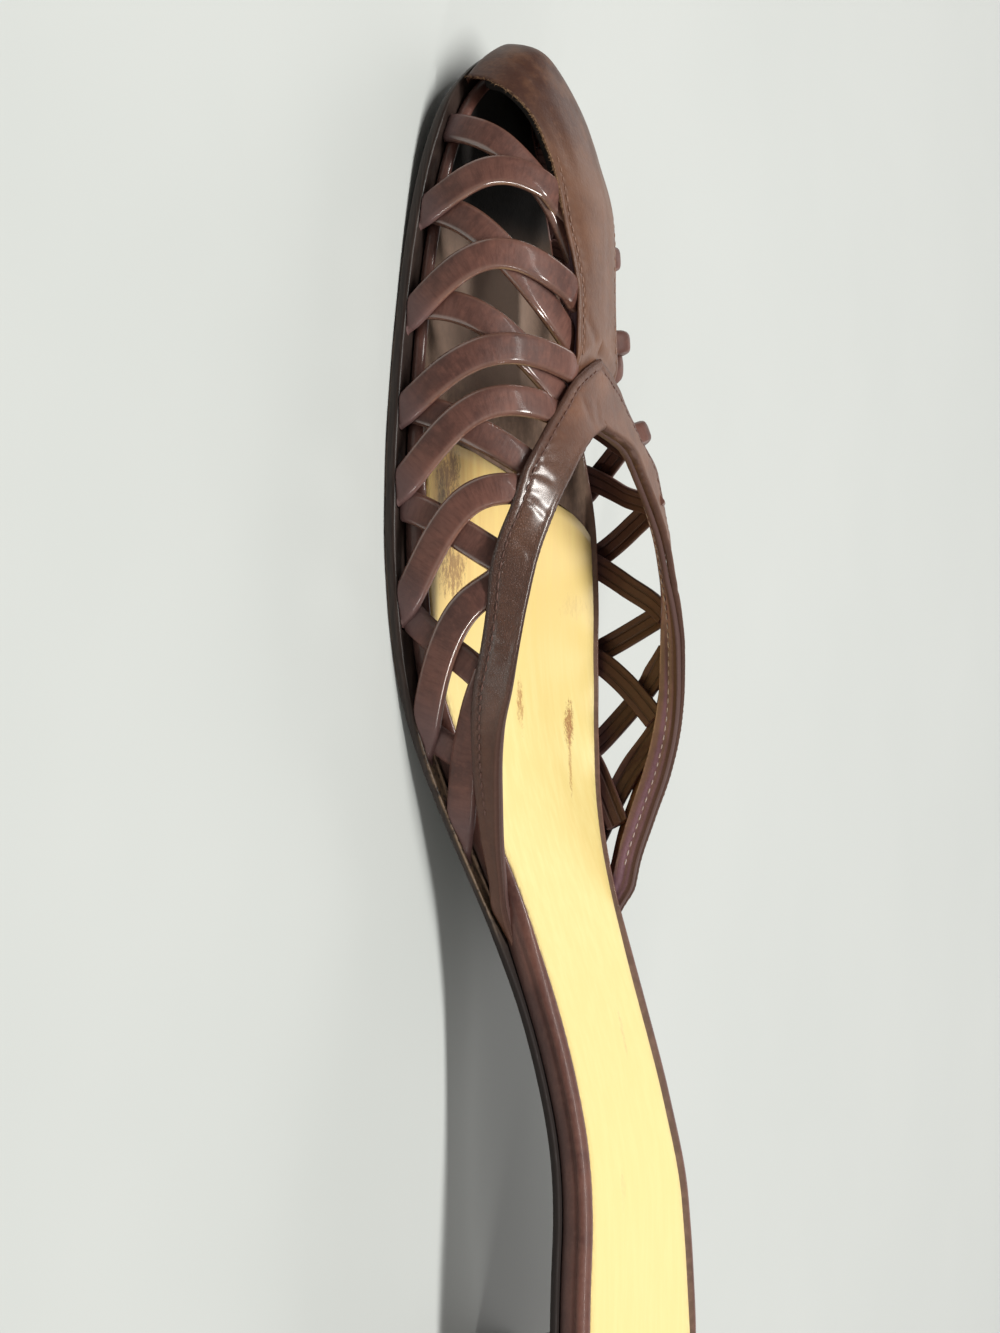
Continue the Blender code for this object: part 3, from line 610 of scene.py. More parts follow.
def flare(u, side):
    """Behind the throat the outer arm lies flatter than the last."""
    return OUTER_FLARE * rise(u, 65.0, 7.0) * fade(u, 88.0, 14.0) * (side > 0)


def arm_offset(u, side, from_low, from_top):
    """Flared out at the lower edge and in at the top line, and sunk at the end of the arm."""
    tilt = 1.0 - 2.0 * from_low / np.maximum(from_top + from_low, 0.5)
    return flare(u, side) * tilt - ARM_DIVE * rise(u, 143.0, 13.0)


def gap_to(points, line):
    """Distance of each point to a line of points set close together."""
    flat = np.asarray(points).reshape(-1, 3)
    batch = 800
    near = []
    for i in range(0, len(flat), batch):
        apart = flat[i:i + batch, None] - line[None]
        near.append(np.sqrt((apart ** 2).sum(-1).min(1)))
    return np.concatenate(near).reshape(np.shape(points)[:-1])


def welt(distance, middle, half):
    """A soft ridge, 1 high, at one distance from an edge."""
    return np.exp(-((distance - middle) / half) ** 2)


def vamp_sheet(stations, low, high, across):
    """Rows of spots (u, angle) over each half of the vamp, and the faces between them. Halves that
    meet on the ridge are joined later. Behind the throat they are two bands."""
    share = np.linspace(0.0, 1.0, across + 1)
    share = (share + 0.5 - 0.5 * np.cos(math.pi * share)) / 2.0
    half = {-1: [], 1: []}
    for side in half:
        for u in stations:
            bottom, top = float(low(u, side)), float(high(u, side))
            half[side].append([(u, bottom + (top - bottom) * s) for s in share])
    wide = across + 1
    count = len(stations) * wide
    faces = []
    for j in range(len(stations) - 1):
        for k in range(across):
            a = j * wide + k
            quad = (a, a + wide, a + wide + 1, a + 1)
            faces += [quad, tuple(i + count for i in quad)]
    return np.array(half[-1]).reshape(-1, 2), np.array(half[1])[:, ::-1].reshape(-1, 2), faces


def spread(inner, outer):
    """Place on the last, u and side of the foot of each spot."""
    base = np.concatenate([last_point(*inner.T, -1), last_point(*outer.T, 1)])
    sides = np.repeat([-1.0, 1.0], (len(inner), len(outer)))
    return base, np.concatenate([inner, outer])[:, 0], sides


def wall(name, finish, inner, outer, faces, face_out, face_in, **marks):
    """A leather wall between two offsets from the last, closed along its edges."""
    count = len(inner) * 2
    both = []
    for lift in (face_out, face_in):
        both.append(on_last(*inner.T, -1, lift[:len(inner)]))
        both.append(on_last(*outer.T, 1, lift[len(inner):]))
    weld = {}
    keys = np.round(np.concatenate(both[:2]), 3)
    same = [weld.setdefault(tuple(key), i) for i, key in enumerate(keys)]
    skin_faces = []
    border = {}
    for quad in faces:
        joined = list(dict.fromkeys(same[i] for i in quad))
        if len(joined) < 3:
            continue
        skin_faces.append(tuple(joined))
        skin_faces.append(tuple(i + count for i in reversed(joined)))
        for a, b in zip(joined, joined[1:] + joined[:1]):
            if (b, a) in border:
                del border[(b, a)]
            else:
                border[(a, b)] = True
    skin_faces += [(b, a, a + count, b + count) for a, b in border]
    used = sorted({i for f in skin_faces for i in f})
    number = {old: new for new, old in enumerate(used)}
    skin_faces = [tuple(number[i] for i in f) for f in skin_faces]
    tiled = {label: np.tile(values, 2)[used] for label, values in marks.items()}
    return mesh_piece(name, np.concatenate(both)[used], skin_faces, finish, **tiled)


def both_lines(stations, angle):
    """Close points along one edge of the vamp, on each side of the foot."""
    return {side: last_point(stations, angle(stations, side), side) for side in (-1, 1)}


def as_one(lines):
    return np.concatenate([lines[-1], lines[1]])


fine_u = np.concatenate([np.linspace(0.0, 3.2, 60) ** 2, np.linspace(10.4, ARM_END, 480)])
back_u = np.concatenate([THROAT_U + np.linspace(0.0, 2.0, 40) ** 2,
                         np.linspace(70.2, ARM_END, 280)])
low_lines = both_lines(fine_u, low_angle)
top_line = as_one(both_lines(back_u, top_angle))
cut_line = as_one(both_lines(back_u, lining_low))
rows = np.concatenate([np.linspace(0.0, 2.6, 16)[:-1] ** 2, np.linspace(6.8, 10.6, 16)[:-1],
                       np.linspace(10.6, 65.0, 50)[:-1], THROAT_U + np.linspace(-1.0, 0.0, 4),
                       THROAT_U + np.linspace(0.0, 2.0, 12)[1:] ** 2,
                       np.linspace(71.0, ARM_END, 96)])
inner, outer, faces = vamp_sheet(rows, lining_low, top_angle, 16)
base, u_all, sides = spread(inner, outer)
from_low, from_top = gap_to(base, as_one(low_lines)), gap_to(base, top_line)
offset = arm_offset(u_all, sides, from_low, from_top)
swell = smooth(from_top / 3.2)
face_out = offset + LINING_FACE - 0.25 * swell - 0.25 * welt(from_low, 0.0, 0.5)
face_in = (offset + LINING_BACK - 0.90 * swell + 0.3 * welt(from_low, 0.0, 0.5)
           + 0.25 * welt(from_top, LINING_SEAM, 0.4))

lining = tanned("purple_lining_leather")
tone, mottle = lining.tone, lining.mottle
toe_shade = tone.along(lining.mm, "X").between(-34.0, -50.0)
brim = tone.mark("from_top").between(1.5, 0.6)
colour = tone.coats(
    tone.blend(lining.cloud, (0.115, 0.054, 0.072), (0.190, 0.096, 0.122)),
    (tone.mark("from_top").between(1.0, 0.6), (0.080, 0.036, 0.030)),
    # a pale line along the cut lower edge behind the waist: painted highlight of the edge
    (tone.mark("cut") * mottle.between(0.3, 0.6) * 0.8, (0.40, 0.27, 0.24)),
    (toe_shade, (0.010, 0.007, 0.006)))
rough = 0.32 + mottle * 0.2 + toe_shade * 0.5 + brim * 0.3
shine = 0.30 * (1.0 - toe_shade) * (1.0 - brim)
seal(tone, lining.skin, colour, rough, lining.pebble, 0.06, shine)
# the cut edge behind the waist, where a highlight is painted
cut = welt(gap_to(base, cut_line), 0.0, 0.3) * (u_all > 100.0)
lining_piece = wall("lining_leather", lining.finish, inner, outer, faces, face_out, face_in,
                    from_top=from_top, cut=cut)
fit(lining_piece, "upper")


# The straps are folded strips with round edges, pulled over the last. Inner straps lean forward at
# the top, outer straps lie over them and lean back, and all of them turn in under the feather.
STRAP_WIDTH = 5.3
OUTER_SIDE_WIDER = 0.18   # the outer side's straps are cut wider by this share
# angle at the top, then u at the top, at two thirds, at one third and at the foot
OUTER_STRAPS = {
    -1: [(77.0, 31.2, 25.6, 24.4, 30.6), (84.0, 45.0, 40.2, 38.6, 48.0),
         (86.0, 57.5, 54.4, 55.0, 64.0), (74.0, 64.5, 62.5, 64.7, 76.5),
         (53.0, 75.0, 77.0, 80.3, 96.0), (31.0, 90.5, 94.2, 100.3, 117.0),
         (18.0, 107.3, 113.3, 121.3, 133.0)],
    1: [(70.0, 24.5, 22.3, 22.8, 28.0), (74.0, 36.6, 35.0, 37.0, 43.0),
        (80.0, 51.0, 49.8, 52.0, 58.0), (64.0, 66.0, 64.8, 67.5, 74.0),
        (45.0, 75.0, 77.6, 81.5, 86.5), (31.0, 94.5, 96.8, 100.0, 104.0),
        (25.5, 103.3, 108.8, 115.0, 122.5), (20.5, 116.3, 121.5, 127.8, 139.0)]}
INNER_STRAPS = {
    -1: [(80.0, 37.5, 24.0, 17.8, 15.2), (85.0, 53.5, 43.8, 35.0, 29.6),
         (76.0, 61.5, 53.6, 48.0, 46.0), (53.0, 73.5, 69.0, 65.6, 63.0),
         (31.0, 89.0, 85.7, 82.3, 79.5), (16.0, 108.5, 105.0, 102.0, 97.5),
         (7.5, 124.0, 121.7, 120.0, 117.5)],
    1: [(76.0, 40.0, 27.0, 17.5, 15.0), (76.0, 60.0, 44.0, 33.5, 30.0),
        (58.0, 70.0, 58.2, 49.5, 46.0), (50.0, 69.0, 64.8, 61.0, 59.0),
        (40.0, 77.5, 74.4, 71.8, 70.0), (26.5, 96.0, 92.6, 89.2, 86.0),
        (18.6, 115.9, 111.2, 107.0, 104.2), (5.5, 135.0, 129.5, 125.0, 122.0)]}
OUTER_FACE, OUTER_THICK = 0.05, 1.25
INNER_FACE, INNER_THICK = -1.35, 1.2
STRAP_CROWN = 0.46
# slack of each strap: those of the outer side stand off below the strip
OUTER_SLACK = {-1: [0.25] * 7, 1: [0.6, 1.1, 2.0, 2.5, 0.6, 0.3, 0.2, 0.2]}
INNER_SLACK = {-1: [0.0] * 7, 1: [0.5, 1.9, 2.0, 0.8, 0.2, 0.0, 0.0, 0.0]}
# how far the straps sink at the edge that covers them, and further in under it
OUTER_DIP, INNER_DIP = (0.24, 0.6), (0.0, 0.1)


def wall_shift(u, angle, side, move):
    """The u and angle reached from (u, angle) by small moves along the wall."""
    along = (last_point(u + 0.2, angle, side) - last_point(u - 0.2, angle, side)) / 0.4
    climb = (last_point(u, angle + 0.3, side) - last_point(u, angle - 0.3, side)) / 0.6
    aa, ac, cc = [(p * q).sum(-1) for p, q in ((along, along), (along, climb), (climb, climb))]
    ma, mc = (move * along).sum(-1), (move * climb).sum(-1)
    det = aa * cc - ac * ac + 1e-9
    return u + (ma * cc - mc * ac) / det, angle + (mc * aa - ma * ac) / det


def below_edge(u, angle, side):
    """Distance below the lower edge of toe piece and collar, less than 0 under them."""
    gap = gap_to(last_point(u, angle, side), low_lines[side])
    return np.sign(low_angle(u, side) - angle) * gap


def slack_shape(clear):
    """How a slack strap stands off below the edge it comes from."""
    return rise(clear, 0.2, 2.6) * fade(clear, 3.6, 8.0)


def length_along(line):
    steps = np.linalg.norm(np.diff(line, axis=0), axis=1)
    return np.concatenate([[0.0], np.cumsum(steps)])


def strap_path(row, side, face, thick, slack):
    """A strap from under the edge down into the sole: its middle line and the marks along it."""
    top, u0, u1, u2, u3 = row
    foot = last_point(np.array(u3), np.array(0.0), side)
    above = last_point(np.array(u3 - 0.09 * (u3 - u2)), np.array(0.03 * top), side)
    fall = (above - foot) / 0.03
    slant = math.hypot(fall[0], fall[1]) / np.linalg.norm(fall)
    extra = (STRAP_WIDTH * 0.5 * slant + 0.9) / fall[2]
    t = np.concatenate([np.linspace(0.0, 1.0, 90), 1.0 + np.linspace(0.0, extra, 16)[1:]])
    past = np.clip(t - 1.0, 0.0, None)
    # the cubic through the four places of the row, then straight on
    s = 3.0 * np.minimum(t, 1.0)
    u = (u1 * s * (s - 2.0) * (s - 3.0) / 2.0 - u0 * (s - 1.0) * (s - 2.0) * (s - 3.0) / 6.0
         + u3 * s * (s - 1.0) * (s - 2.0) / 6.0 - u2 * s * (s - 1.0) * (s - 3.0) / 2.0
         + 3.0 * (u3 - u2) * past)
    angle = np.clip(top * (1.0 - t), 0.0, None)
    sunk = past * fall[2]

    def placed():
        return last_point(u, angle, side) - sunk[:, None] * (0.0, 0.0, 1.0)

    run = length_along(placed())
    even = np.linspace(0.0, run[-1], max(30, int(run[-1] / 0.55)))
    u, angle, sunk = (np.interp(even, run, v) for v in (u, angle, sunk))
    path = placed()
    n = last_normal(u, np.maximum(angle, 1.5), side)
    high = path[:, 2] - sole_top(u)
    clear = below_edge(u, angle, side)
    lift = face + slack * slack_shape(clear) - 0.6 * smooth((1.6 - high) / 3.0)
    lift = lift + flare(u, side) * fade(clear, 1.0, 7.0)
    middle = path + (lift - thick / 2.0)[:, None] * n
    way = unit(np.gradient(middle, axis=0))
    n = unit(n - (n * way).sum(-1, keepdims=True) * way)
    return {"line": middle, "outward": n, "sideways": unit(np.cross(n, way)), "u": u,
            "angle": angle, "down": length_along(middle), "foot": smooth((5.0 - high) / 4.5)}


class Weave:
    """Builds one tree of geometry nodes with named inputs and runs it on a mesh of lines."""

    def __init__(self, name, **inputs):
        kinds = {float: "NodeSocketFloat", int: "NodeSocketInt",
                 bpy.types.Material: "NodeSocketMaterial"}
        self.tree = bpy.data.node_groups.new(name, "GeometryNodeTree")
        face = self.tree.interface
        for way in ("INPUT", "OUTPUT"):
            face.new_socket("Geometry", in_out=way, socket_type="NodeSocketGeometry")
        self.values = {}
        for label, value in inputs.items():
            socket = face.new_socket(label, in_out="INPUT", socket_type=kinds[type(value)])
            self.values[socket.identifier] = value
        self.source = self.tree.nodes.new("NodeGroupInput")

    def given(self, label):
        return self.source.outputs[label]

    def node(self, kind, settings=None, sockets=None):
        made = self.tree.nodes.new(kind)
        for key, value in (settings or {}).items():
            setattr(made, key, value)
        for key, value in (sockets or {}).items():
            if isinstance(value, bpy.types.Node):
                value = value.outputs[0]
            if isinstance(value, bpy.types.NodeSocket):
                self.tree.links.new(value, made.inputs[key])
            else:
                made.inputs[key].default_value = value
        return made

    def math(self, operation, a, b, c=0.0):
        return self.node("ShaderNodeMath", {"operation": operation}, {0: a, 1: b, 2: c})

    def vector_mark(self, name):
        return self.node("GeometryNodeInputNamedAttribute", {"data_type": "FLOAT_VECTOR"},
                         {"Name": name})

    def store(self, geometry, name, value):
        return self.node("GeometryNodeStoreNamedAttribute",
                         {"data_type": "FLOAT", "domain": "POINT"},
                         {0: geometry, "Name": name, "Value": value})

    def lines(self):
        return self.node("GeometryNodeMeshToCurve", None, {0: self.given("Geometry")})

    def row_of(self, shape, turn, smallest, largest):
        """One shape at every pitch along the lines, each of its own size."""
        even = self.node("GeometryNodeResampleCurve", {"mode": "LENGTH"},
                         {0: self.lines(), "Length": self.given("Pitch")})
        size = self.node("FunctionNodeRandomValue", {"data_type": "FLOAT"},
                         {2: smallest, 3: largest, "Seed": self.given("Seed")})
        return self.node("GeometryNodeInstanceOnPoints", None,
                         {"Points": even, "Instance": shape, "Rotation": turn,
                          "Scale": size.outputs[1]})

    def finish(self, geometry):
        real = self.node("GeometryNodeRealizeInstances", None, {0: geometry})
        soft = self.node("GeometryNodeSetShadeSmooth", None, {0: real})
        dressed = self.node("GeometryNodeSetMaterial", None,
                            {0: soft, "Material": self.given("Finish")})
        out = self.tree.nodes.new("NodeGroupOutput")
        self.tree.links.new(dressed.outputs[0], out.inputs[0])

    def run(self, name, lines, **marks):
        """lines are arrays of points in millimetres. marks hold one array for each line."""
        points = np.concatenate(lines)
        first = np.cumsum([0] + [len(line) for line in lines])
        edges = [(i, i + 1) for a, b in zip(first[:-1], first[1:]) for i in range(a, b - 1)]
        mesh = bpy.data.meshes.new(name)
        mesh.from_pydata(to_frame(points).tolist(), edges, [])
        for label, values in marks.items():
            values = np.concatenate(values).astype(np.float32)
            kind, key = ("FLOAT_VECTOR", "vector") if values.ndim > 1 else ("FLOAT", "value")
            mesh.attributes.new(label, kind, "POINT").data.foreach_set(key, values.ravel())
        carrier = add_object(name + "_lines", mesh)
        work = carrier.modifiers.new(self.tree.name, "NODES")
        work.node_group = self.tree
        for identifier, value in self.values.items():
            work[identifier] = value
        ready = carrier.evaluated_get(bpy.context.evaluated_depsgraph_get())
        made = bpy.data.meshes.new_from_object(ready)
        carrier.modifiers.remove(work)
        bpy.data.objects.remove(carrier, do_unlink=True)
        made.name = name
        return add_object(name, made)


def strap_roll(name, thick, finish):
    """Sweeps a round-edged, slightly crowned strip along each line, its face outward."""
    work = Weave(name, Width=STRAP_WIDTH * 0.001, Thickness=thick * 0.001, Edge=thick * 0.00047,
                 Crown=STRAP_CROWN * 0.001, Finish=finish)
    bar = work.node("GeometryNodeCurvePrimitiveQuadrilateral", None,
                    {"Width": work.given("Thickness"), "Height": work.given("Width")})
    soft = work.node("GeometryNodeFilletCurve", {"mode": "POLY"},
                     {0: bar, "Count": 5, "Radius": work.given("Edge"), "Limit Radius": True})
    even = work.node("GeometryNodeResampleCurve", {"mode": "COUNT"}, {0: soft, "Count": 42})
    spot = work.node("ShaderNodeSeparateXYZ", None, {0: work.node("GeometryNodeInputPosition")})
    deep, wide = spot.outputs[0], spot.outputs[1]
    share = work.math("DIVIDE", wide, work.given("Width"))
    square = work.math("MULTIPLY", share, share)
    fall = work.math("MULTIPLY_ADD", work.math("MULTIPLY", square, square), -16.0, 0.3)
    fall = work.math("MULTIPLY", fall, work.given("Crown"))
    lift = work.node("ShaderNodeCombineXYZ", None, {0: fall})
    crowned = work.node("GeometryNodeSetPosition", None, {0: even, "Offset": lift})
    marked = work.store(crowned, "across", work.math("MULTIPLY", wide, 1000.0))
    marked = work.store(marked, "front", work.math("DIVIDE", deep, work.given("Thickness")))
    faced = work.node("GeometryNodeSetCurveNormal", {"mode": "FREE"},
                      {0: work.lines(), "Normal": work.vector_mark("outward")})
    strip = work.node("GeometryNodeCurveToMesh", None, {0: faced, 1: marked, "Fill Caps": True})
    work.finish(strip)
    return work


def strap_leather(name, deep, warm):
    """Strap leather: fine lines across the strip, edges painted bright as a highlight, feet painted
    pale and cool as a reflection of the floor, the back painted dark as shade. The back shows the
    two turned edges of the fold, with painted shade in the grooves along them."""
    hide = tanned(name, specular=0.36, coat_rough=0.11, coat_ior=2.1)
    tone, mottle = hide.tone, hide.mottle
    across, foot, front, strap = (tone.mark(key) for key in ("across", "foot", "front", "strap"))
    lane = tone.node("ShaderNodeCombineXYZ", None,
                     {0: tone.mark("down"), 1: across * 0.16, 2: strap * 7.3})
    rib = tone.noise(lane, 1.7, 4.0, 0.6)
    fold = tone.noise(lane, 0.22, 2.0, 0.5)
    side = across * across
    back = front.between(-0.2, -0.4)
    turned = side.between(0.5, 0.9) * (1.0 - side.between(1.4, 2.0)) * back
    edge = side.between(3.2, 5.0) * (1.0 - foot) * tone.along(hide.mm, "X").between(48.0, 22.0)
    edge = edge * (1.0 - front.between(0.1, -0.25)) * (1.0 - strap.between(-0.5, 0.5) * 0.7)
    colour = tone.coats(
        tone.blend(hide.cloud, deep, warm),
        (mottle.between(0.42, 0.78) * 0.55, (0.215, 0.088, 0.064)),
        (rib.between(0.40, 0.72) * 0.34, (0.046, 0.017, 0.013)),
        # edges painted light toward the toe and away from the feet: painted highlight
        (edge * 0.35, (0.250, 0.120, 0.080)),
        (side.between(5.9, 6.8) * edge * rib.between(0.3, 0.65) * 0.5, (0.44, 0.26, 0.17)),
        # feet painted pale and cool: painted reflection of the floor where the strap turns under
        (foot * 0.6, (0.140, 0.086, 0.088)),
        # backs painted dark: painted shade on the inner faces, in a redder brown than the face
        (back * 0.85, (0.062, 0.026, 0.021)),
        # dark lines in the grooves along the turned edges: painted shade
        (turned * 0.45, (0.022, 0.010, 0.008)))
    rough = 0.42 + mottle * 0.22 + rib * 0.08 - edge * 0.12
    height = rib * 0.5 + hide.pebble * 0.3 + fold * 0.8 - turned * 1.6
    seal(tone, hide.skin, colour, rough, height, 0.105, 0.02 + edge * 0.95)
    return hide.finish


def settle(piece, slack, dip):
    """Beds the straps under the edges that cover them and trims their feet along the sole."""
    mesh = piece.data
    count = len(mesh.vertices)

    def read(name, wide=1):
        values = np.empty(count * wide)
        mesh.attributes[name].data.foreach_get("vector" if wide > 1 else "value", values)
        return values.reshape(count, wide) if wide > 1 else values

    spots, sideways, outward = (read(name, 3) for name in ("position", "sideways", "outward"))
    u, angle, across, strap = (read(name) for name in ("u", "angle", "across", "strap"))
    wider = OUTER_SIDE_WIDER * across * (strap > 0.0)
    spots += 0.001 * wider[:, None] * sideways
    across = across + wider
    for side in (-1, 1):
        own = np.nonzero(np.sign(strap) == side)[0]
        eu, ea = wall_shift(u[own], angle[own], side, across[own, None] * sideways[own])
        clear = below_edge(eu, np.clip(ea, 0.0, 90.0), side)
        sink = dip[0] * fade(clear, 0.0, 0.7) + dip[1] * smooth(-clear / 2.2)
        loose = np.array(slack[side])[np.round(np.abs(strap[own])).astype(int) - 1]
        sink = sink + 0.12 * loose * slack_shape(clear) * (across[own] / STRAP_WIDTH * 2.0) ** 4
        spots[own] -= sink[:, None] * outward[own] * 0.001
    floor = (sole_top(spots[:, 0] * 1000.0 + BALL_U) + 0.03) * 0.001
    spots[:, 2] = np.maximum(spots[:, 2], floor)
    mesh.attributes["position"].data.foreach_set("vector", spots.ravel())
    for name in ("u", "angle", "sideways", "outward"):
        mesh.attributes.remove(mesh.attributes[name])
    mesh.update()


def lay_straps(name, table, face, thick, dip, slack, finish):
    paths = []
    for side in (-1, 1):
        for k, row in enumerate(table[side]):
            path = strap_path(row, side, face, thick, slack[side][k])
            path["strap"] = np.full(len(path["u"]), side * (k + 1.0))
            paths.append(path)
    marks = {label: [path[label] for path in paths] for label in paths[0]}
    piece = strap_roll(name + "_roll", thick, finish).run(name, marks.pop("line"), **marks)
    settle(piece, slack, dip)
    fit(piece, "upper")


lay_straps("inner_straps", INNER_STRAPS, INNER_FACE, INNER_THICK, INNER_DIP, INNER_SLACK,
           strap_leather("inner_strap_leather", (0.088, 0.037, 0.029), (0.162, 0.070, 0.053)))
lay_straps("outer_straps", OUTER_STRAPS, OUTER_FACE, OUTER_THICK, OUTER_DIP, OUTER_SLACK,
           strap_leather("outer_strap_leather", (0.088, 0.036, 0.028), (0.168, 0.071, 0.053)))


# The toe piece is toe cap and vamp strip in one, lasted over the toe. Its lower edges are cut raw
# and show tan fibres round the first opening, and a row of stitches holds them to the lining.
TOE_FACE, TOE_THICK = 0.4, 1.0
STRIP_SEAM = 1.3         # the stitches lie this far from the strip's edges
UNDERLAP = 1.7           # the strip runs this far in under the chevron
# chevron in front of the throat: u, lower angle on the inner side, on the outer side
CHEVRON = np.array([(54.0, 90.0, 90.0), (56.0, 82.5, 80.0), (58.4, 75.2, 71.0)])
# side, u and angle of each end, depth and half width of the soft creases
TOE_CREASES = [
    (-1, 4.0, 38.0, 9.0, 62.0, 0.16, 1.6), (-1, 12.0, 62.0, 24.0, 74.0, 0.14, 2.2),
    (-1, 30.0, 70.0, 40.0, 80.0, 0.12, 2.0), (1, 14.0, 66.0, 30.0, 78.0, 0.12, 2.4),
    (-1, 47.0, 79.0, 52.0, 88.0, 0.14, 1.4), (1, 46.0, 76.0, 51.0, 86.0, 0.12, 1.4)]


def creased(points, table):
    """Height of the creases at each point: a soft trough with a low ridge on either side."""
    height = np.zeros(len(points))
    for side, u0, a0, u1, a1, depth, half in table:
        start, end = (last_point(np.array(u), np.array(a), side) for u, a in ((u0, a0), (u1, a1)))
        way = end - start
        share = np.clip((points - start) @ way / (way @ way), -0.3, 1.3)
        off = np.linalg.norm(points - start - share[:, None] * way, axis=1) / half
        fade = np.exp(-np.clip(np.abs(share - 0.5) - 0.25, 0.0, None) ** 2 / 0.05)
        height -= depth * fade * (1.0 - 0.9 * off * off) * np.exp(-off * off)
    return height


def strip_spots(spots, side):
    """The strip's end follows the chevron instead of running straight across."""
    u, angle = spots.T
    notch = np.interp(-angle, -CHEVRON[:, 1 if side < 0 else 2], CHEVRON[:, 0]) - APEX_U
    return np.stack([u + notch * rise(u, 40.0, 13.6), angle], -1)


rows = np.concatenate([np.linspace(0.0, 2.6, 26)[:-1] ** 2, np.linspace(6.8, 10.4, 26)[:-1],
                       np.linspace(10.4, APEX_U + UNDERLAP, 96)])
inner, outer, faces = vamp_sheet(rows, low_angle, ridge_angle, 44)
end_dip = rise(np.concatenate([inner, outer])[:, 0], 50.6, 3.0)
inner, outer = strip_spots(inner, -1), strip_spots(outer, 1)
base, u_all, sides = spread(inner, outer)
open_low = np.concatenate([low_lines[s][low_angle(fine_u, s) > 4.0] for s in (-1, 1)])
from_low = gap_to(base, open_low)
above_sole = base[:, 2] - sole_top(base[:, 0]) - FEATHER_LIFT
tuck = 1.3 * np.clip(1.0 - above_sole / 1.7, 0.0, 1.0) ** 2 * smooth((10.0 - u_all) / 1.5)
sewn = rise(u_all, 20.0, 6.0)
groove = welt(from_low, STRIP_SEAM, 0.34) * sewn
bead = welt(from_low, 0.7, 0.4) * sewn
pucker = 0.07 * np.sin(u_all * 3.1 + 0.6 * sides) * welt(from_low, 2.0, 1.1) * sewn
face_out = (TOE_FACE - tuck - 0.09 * groove + 0.05 * bead + pucker + creased(base, TOE_CREASES)
            - 0.22 * welt(from_low, 0.0, 0.22) - 0.85 * end_dip)
face_in = TOE_FACE - TOE_THICK - 0.9 * tuck - 0.8 * end_dip + 0.45 * welt(from_low, 0.0, 0.6)
raw = welt(from_low, 0.0, 0.26) * fade(u_all, 27.0, 14.0) * np.where(sides < 0, 1.0, 0.55)

hide = tanned("toe_leather", specular=0.40)
tone, mottle = hide.tone, hide.mottle
raw_edge = tone.mark("raw")
nose = tone.along(hide.mm, "X").between(-46.0, -66.0)
nose = nose * tone.noise(hide.mm, 0.22, 4.0, 0.65).between(0.25, 0.6)
pull = tone.noise(tone.millimetres((0.25, 1.0, 1.0)), 0.7, 4.0, 0.6)
fray = tone.noise(hide.mm, 2.6, 4.0, 0.7)
colour = tone.coats(
    tone.blend(hide.cloud, (0.102, 0.042, 0.022), (0.156, 0.068, 0.035)),
    (nose * 0.9, (0.054, 0.019, 0.012)),
    (mottle.between(0.5, 0.8) * 0.4, (0.190, 0.088, 0.050)),
    # darker in the stitch groove: painted shade
    (tone.mark("groove") * 0.2, (0.060, 0.024, 0.016)),
    ((raw_edge * 1.7 * fray).between(0.45, 1.0), (0.36, 0.215, 0.115)))
height = hide.pebble * 0.5 + pull * 0.5 + raw_edge * fray * 1.5
seal(tone, hide.skin, colour, 0.40 + mottle * 0.18 + raw_edge * 0.3, height, 0.07, 0.06)
toe_piece = wall("toe_leather", hide.finish, inner, outer, faces, face_out, face_in,
                 raw=raw, groove=groove)
fit(toe_piece, "toe_piece")


# The collar is one band of the same leather: a chevron laid over the strip, and two arms that run
# back to the waist. Its lower edge is folded and stitched, its top line rolled over to the lining.
COLLAR_FACE, COLLAR_THICK = 0.55, 1.1
HEM_SEAM = 1.6           # the stitches lie this far from the folded edge
COLLAR_CREASES = [
    (-1, 83.8, 33.5, 89.6, 41.0, 0.14, 0.9), (-1, 86.5, 39.0, 91.0, 37.0, 0.09, 0.7),
    (-1, 78.6, 42.0, 82.6, 49.5, 0.12, 0.9), (-1, 73.8, 46.0, 76.0, 55.0, 0.14, 1.0),
    (-1, 93.2, 27.5, 95.6, 33.0, 0.14, 0.8), (-1, 101.3, 20.5, 103.0, 27.0, 0.12, 0.8),
    (-1, 71.4, 53.0, 74.2, 61.0, 0.14, 1.1), (-1, 60.9, 77.4, 66.5, 83.4, 0.10, 1.2),
    (-1, 61.0, 86.0, 65.4, 87.0, 0.10, 1.4), (1, 60.0, 82.0, 66.0, 79.0, 0.12, 1.4),
    (-1, 97.0, 24.0, 99.4, 31.0, 0.10, 0.9), (-1, 108.0, 16.0, 110.4, 22.0, 0.10, 0.9),
    (1, 80.0, 38.0, 82.5, 45.0, 0.14, 1.0), (1, 90.0, 30.0, 92.5, 37.0, 0.12, 1.0),
    (1, 101.0, 24.0, 103.5, 30.0, 0.12, 1.0), (1, 112.0, 20.0, 114.0, 26.0, 0.12, 1.0)]


def collar_low(u, side):
    """The chevron's edge in front of the throat, then the lower edge of the arms."""
    front = np.interp(u, CHEVRON[:, 0], CHEVRON[:, 1 if side < 0 else 2])
    ease = rise(u, 57.4, 2.0)
    return front * (1.0 - ease) + low_angle(u, side) * ease


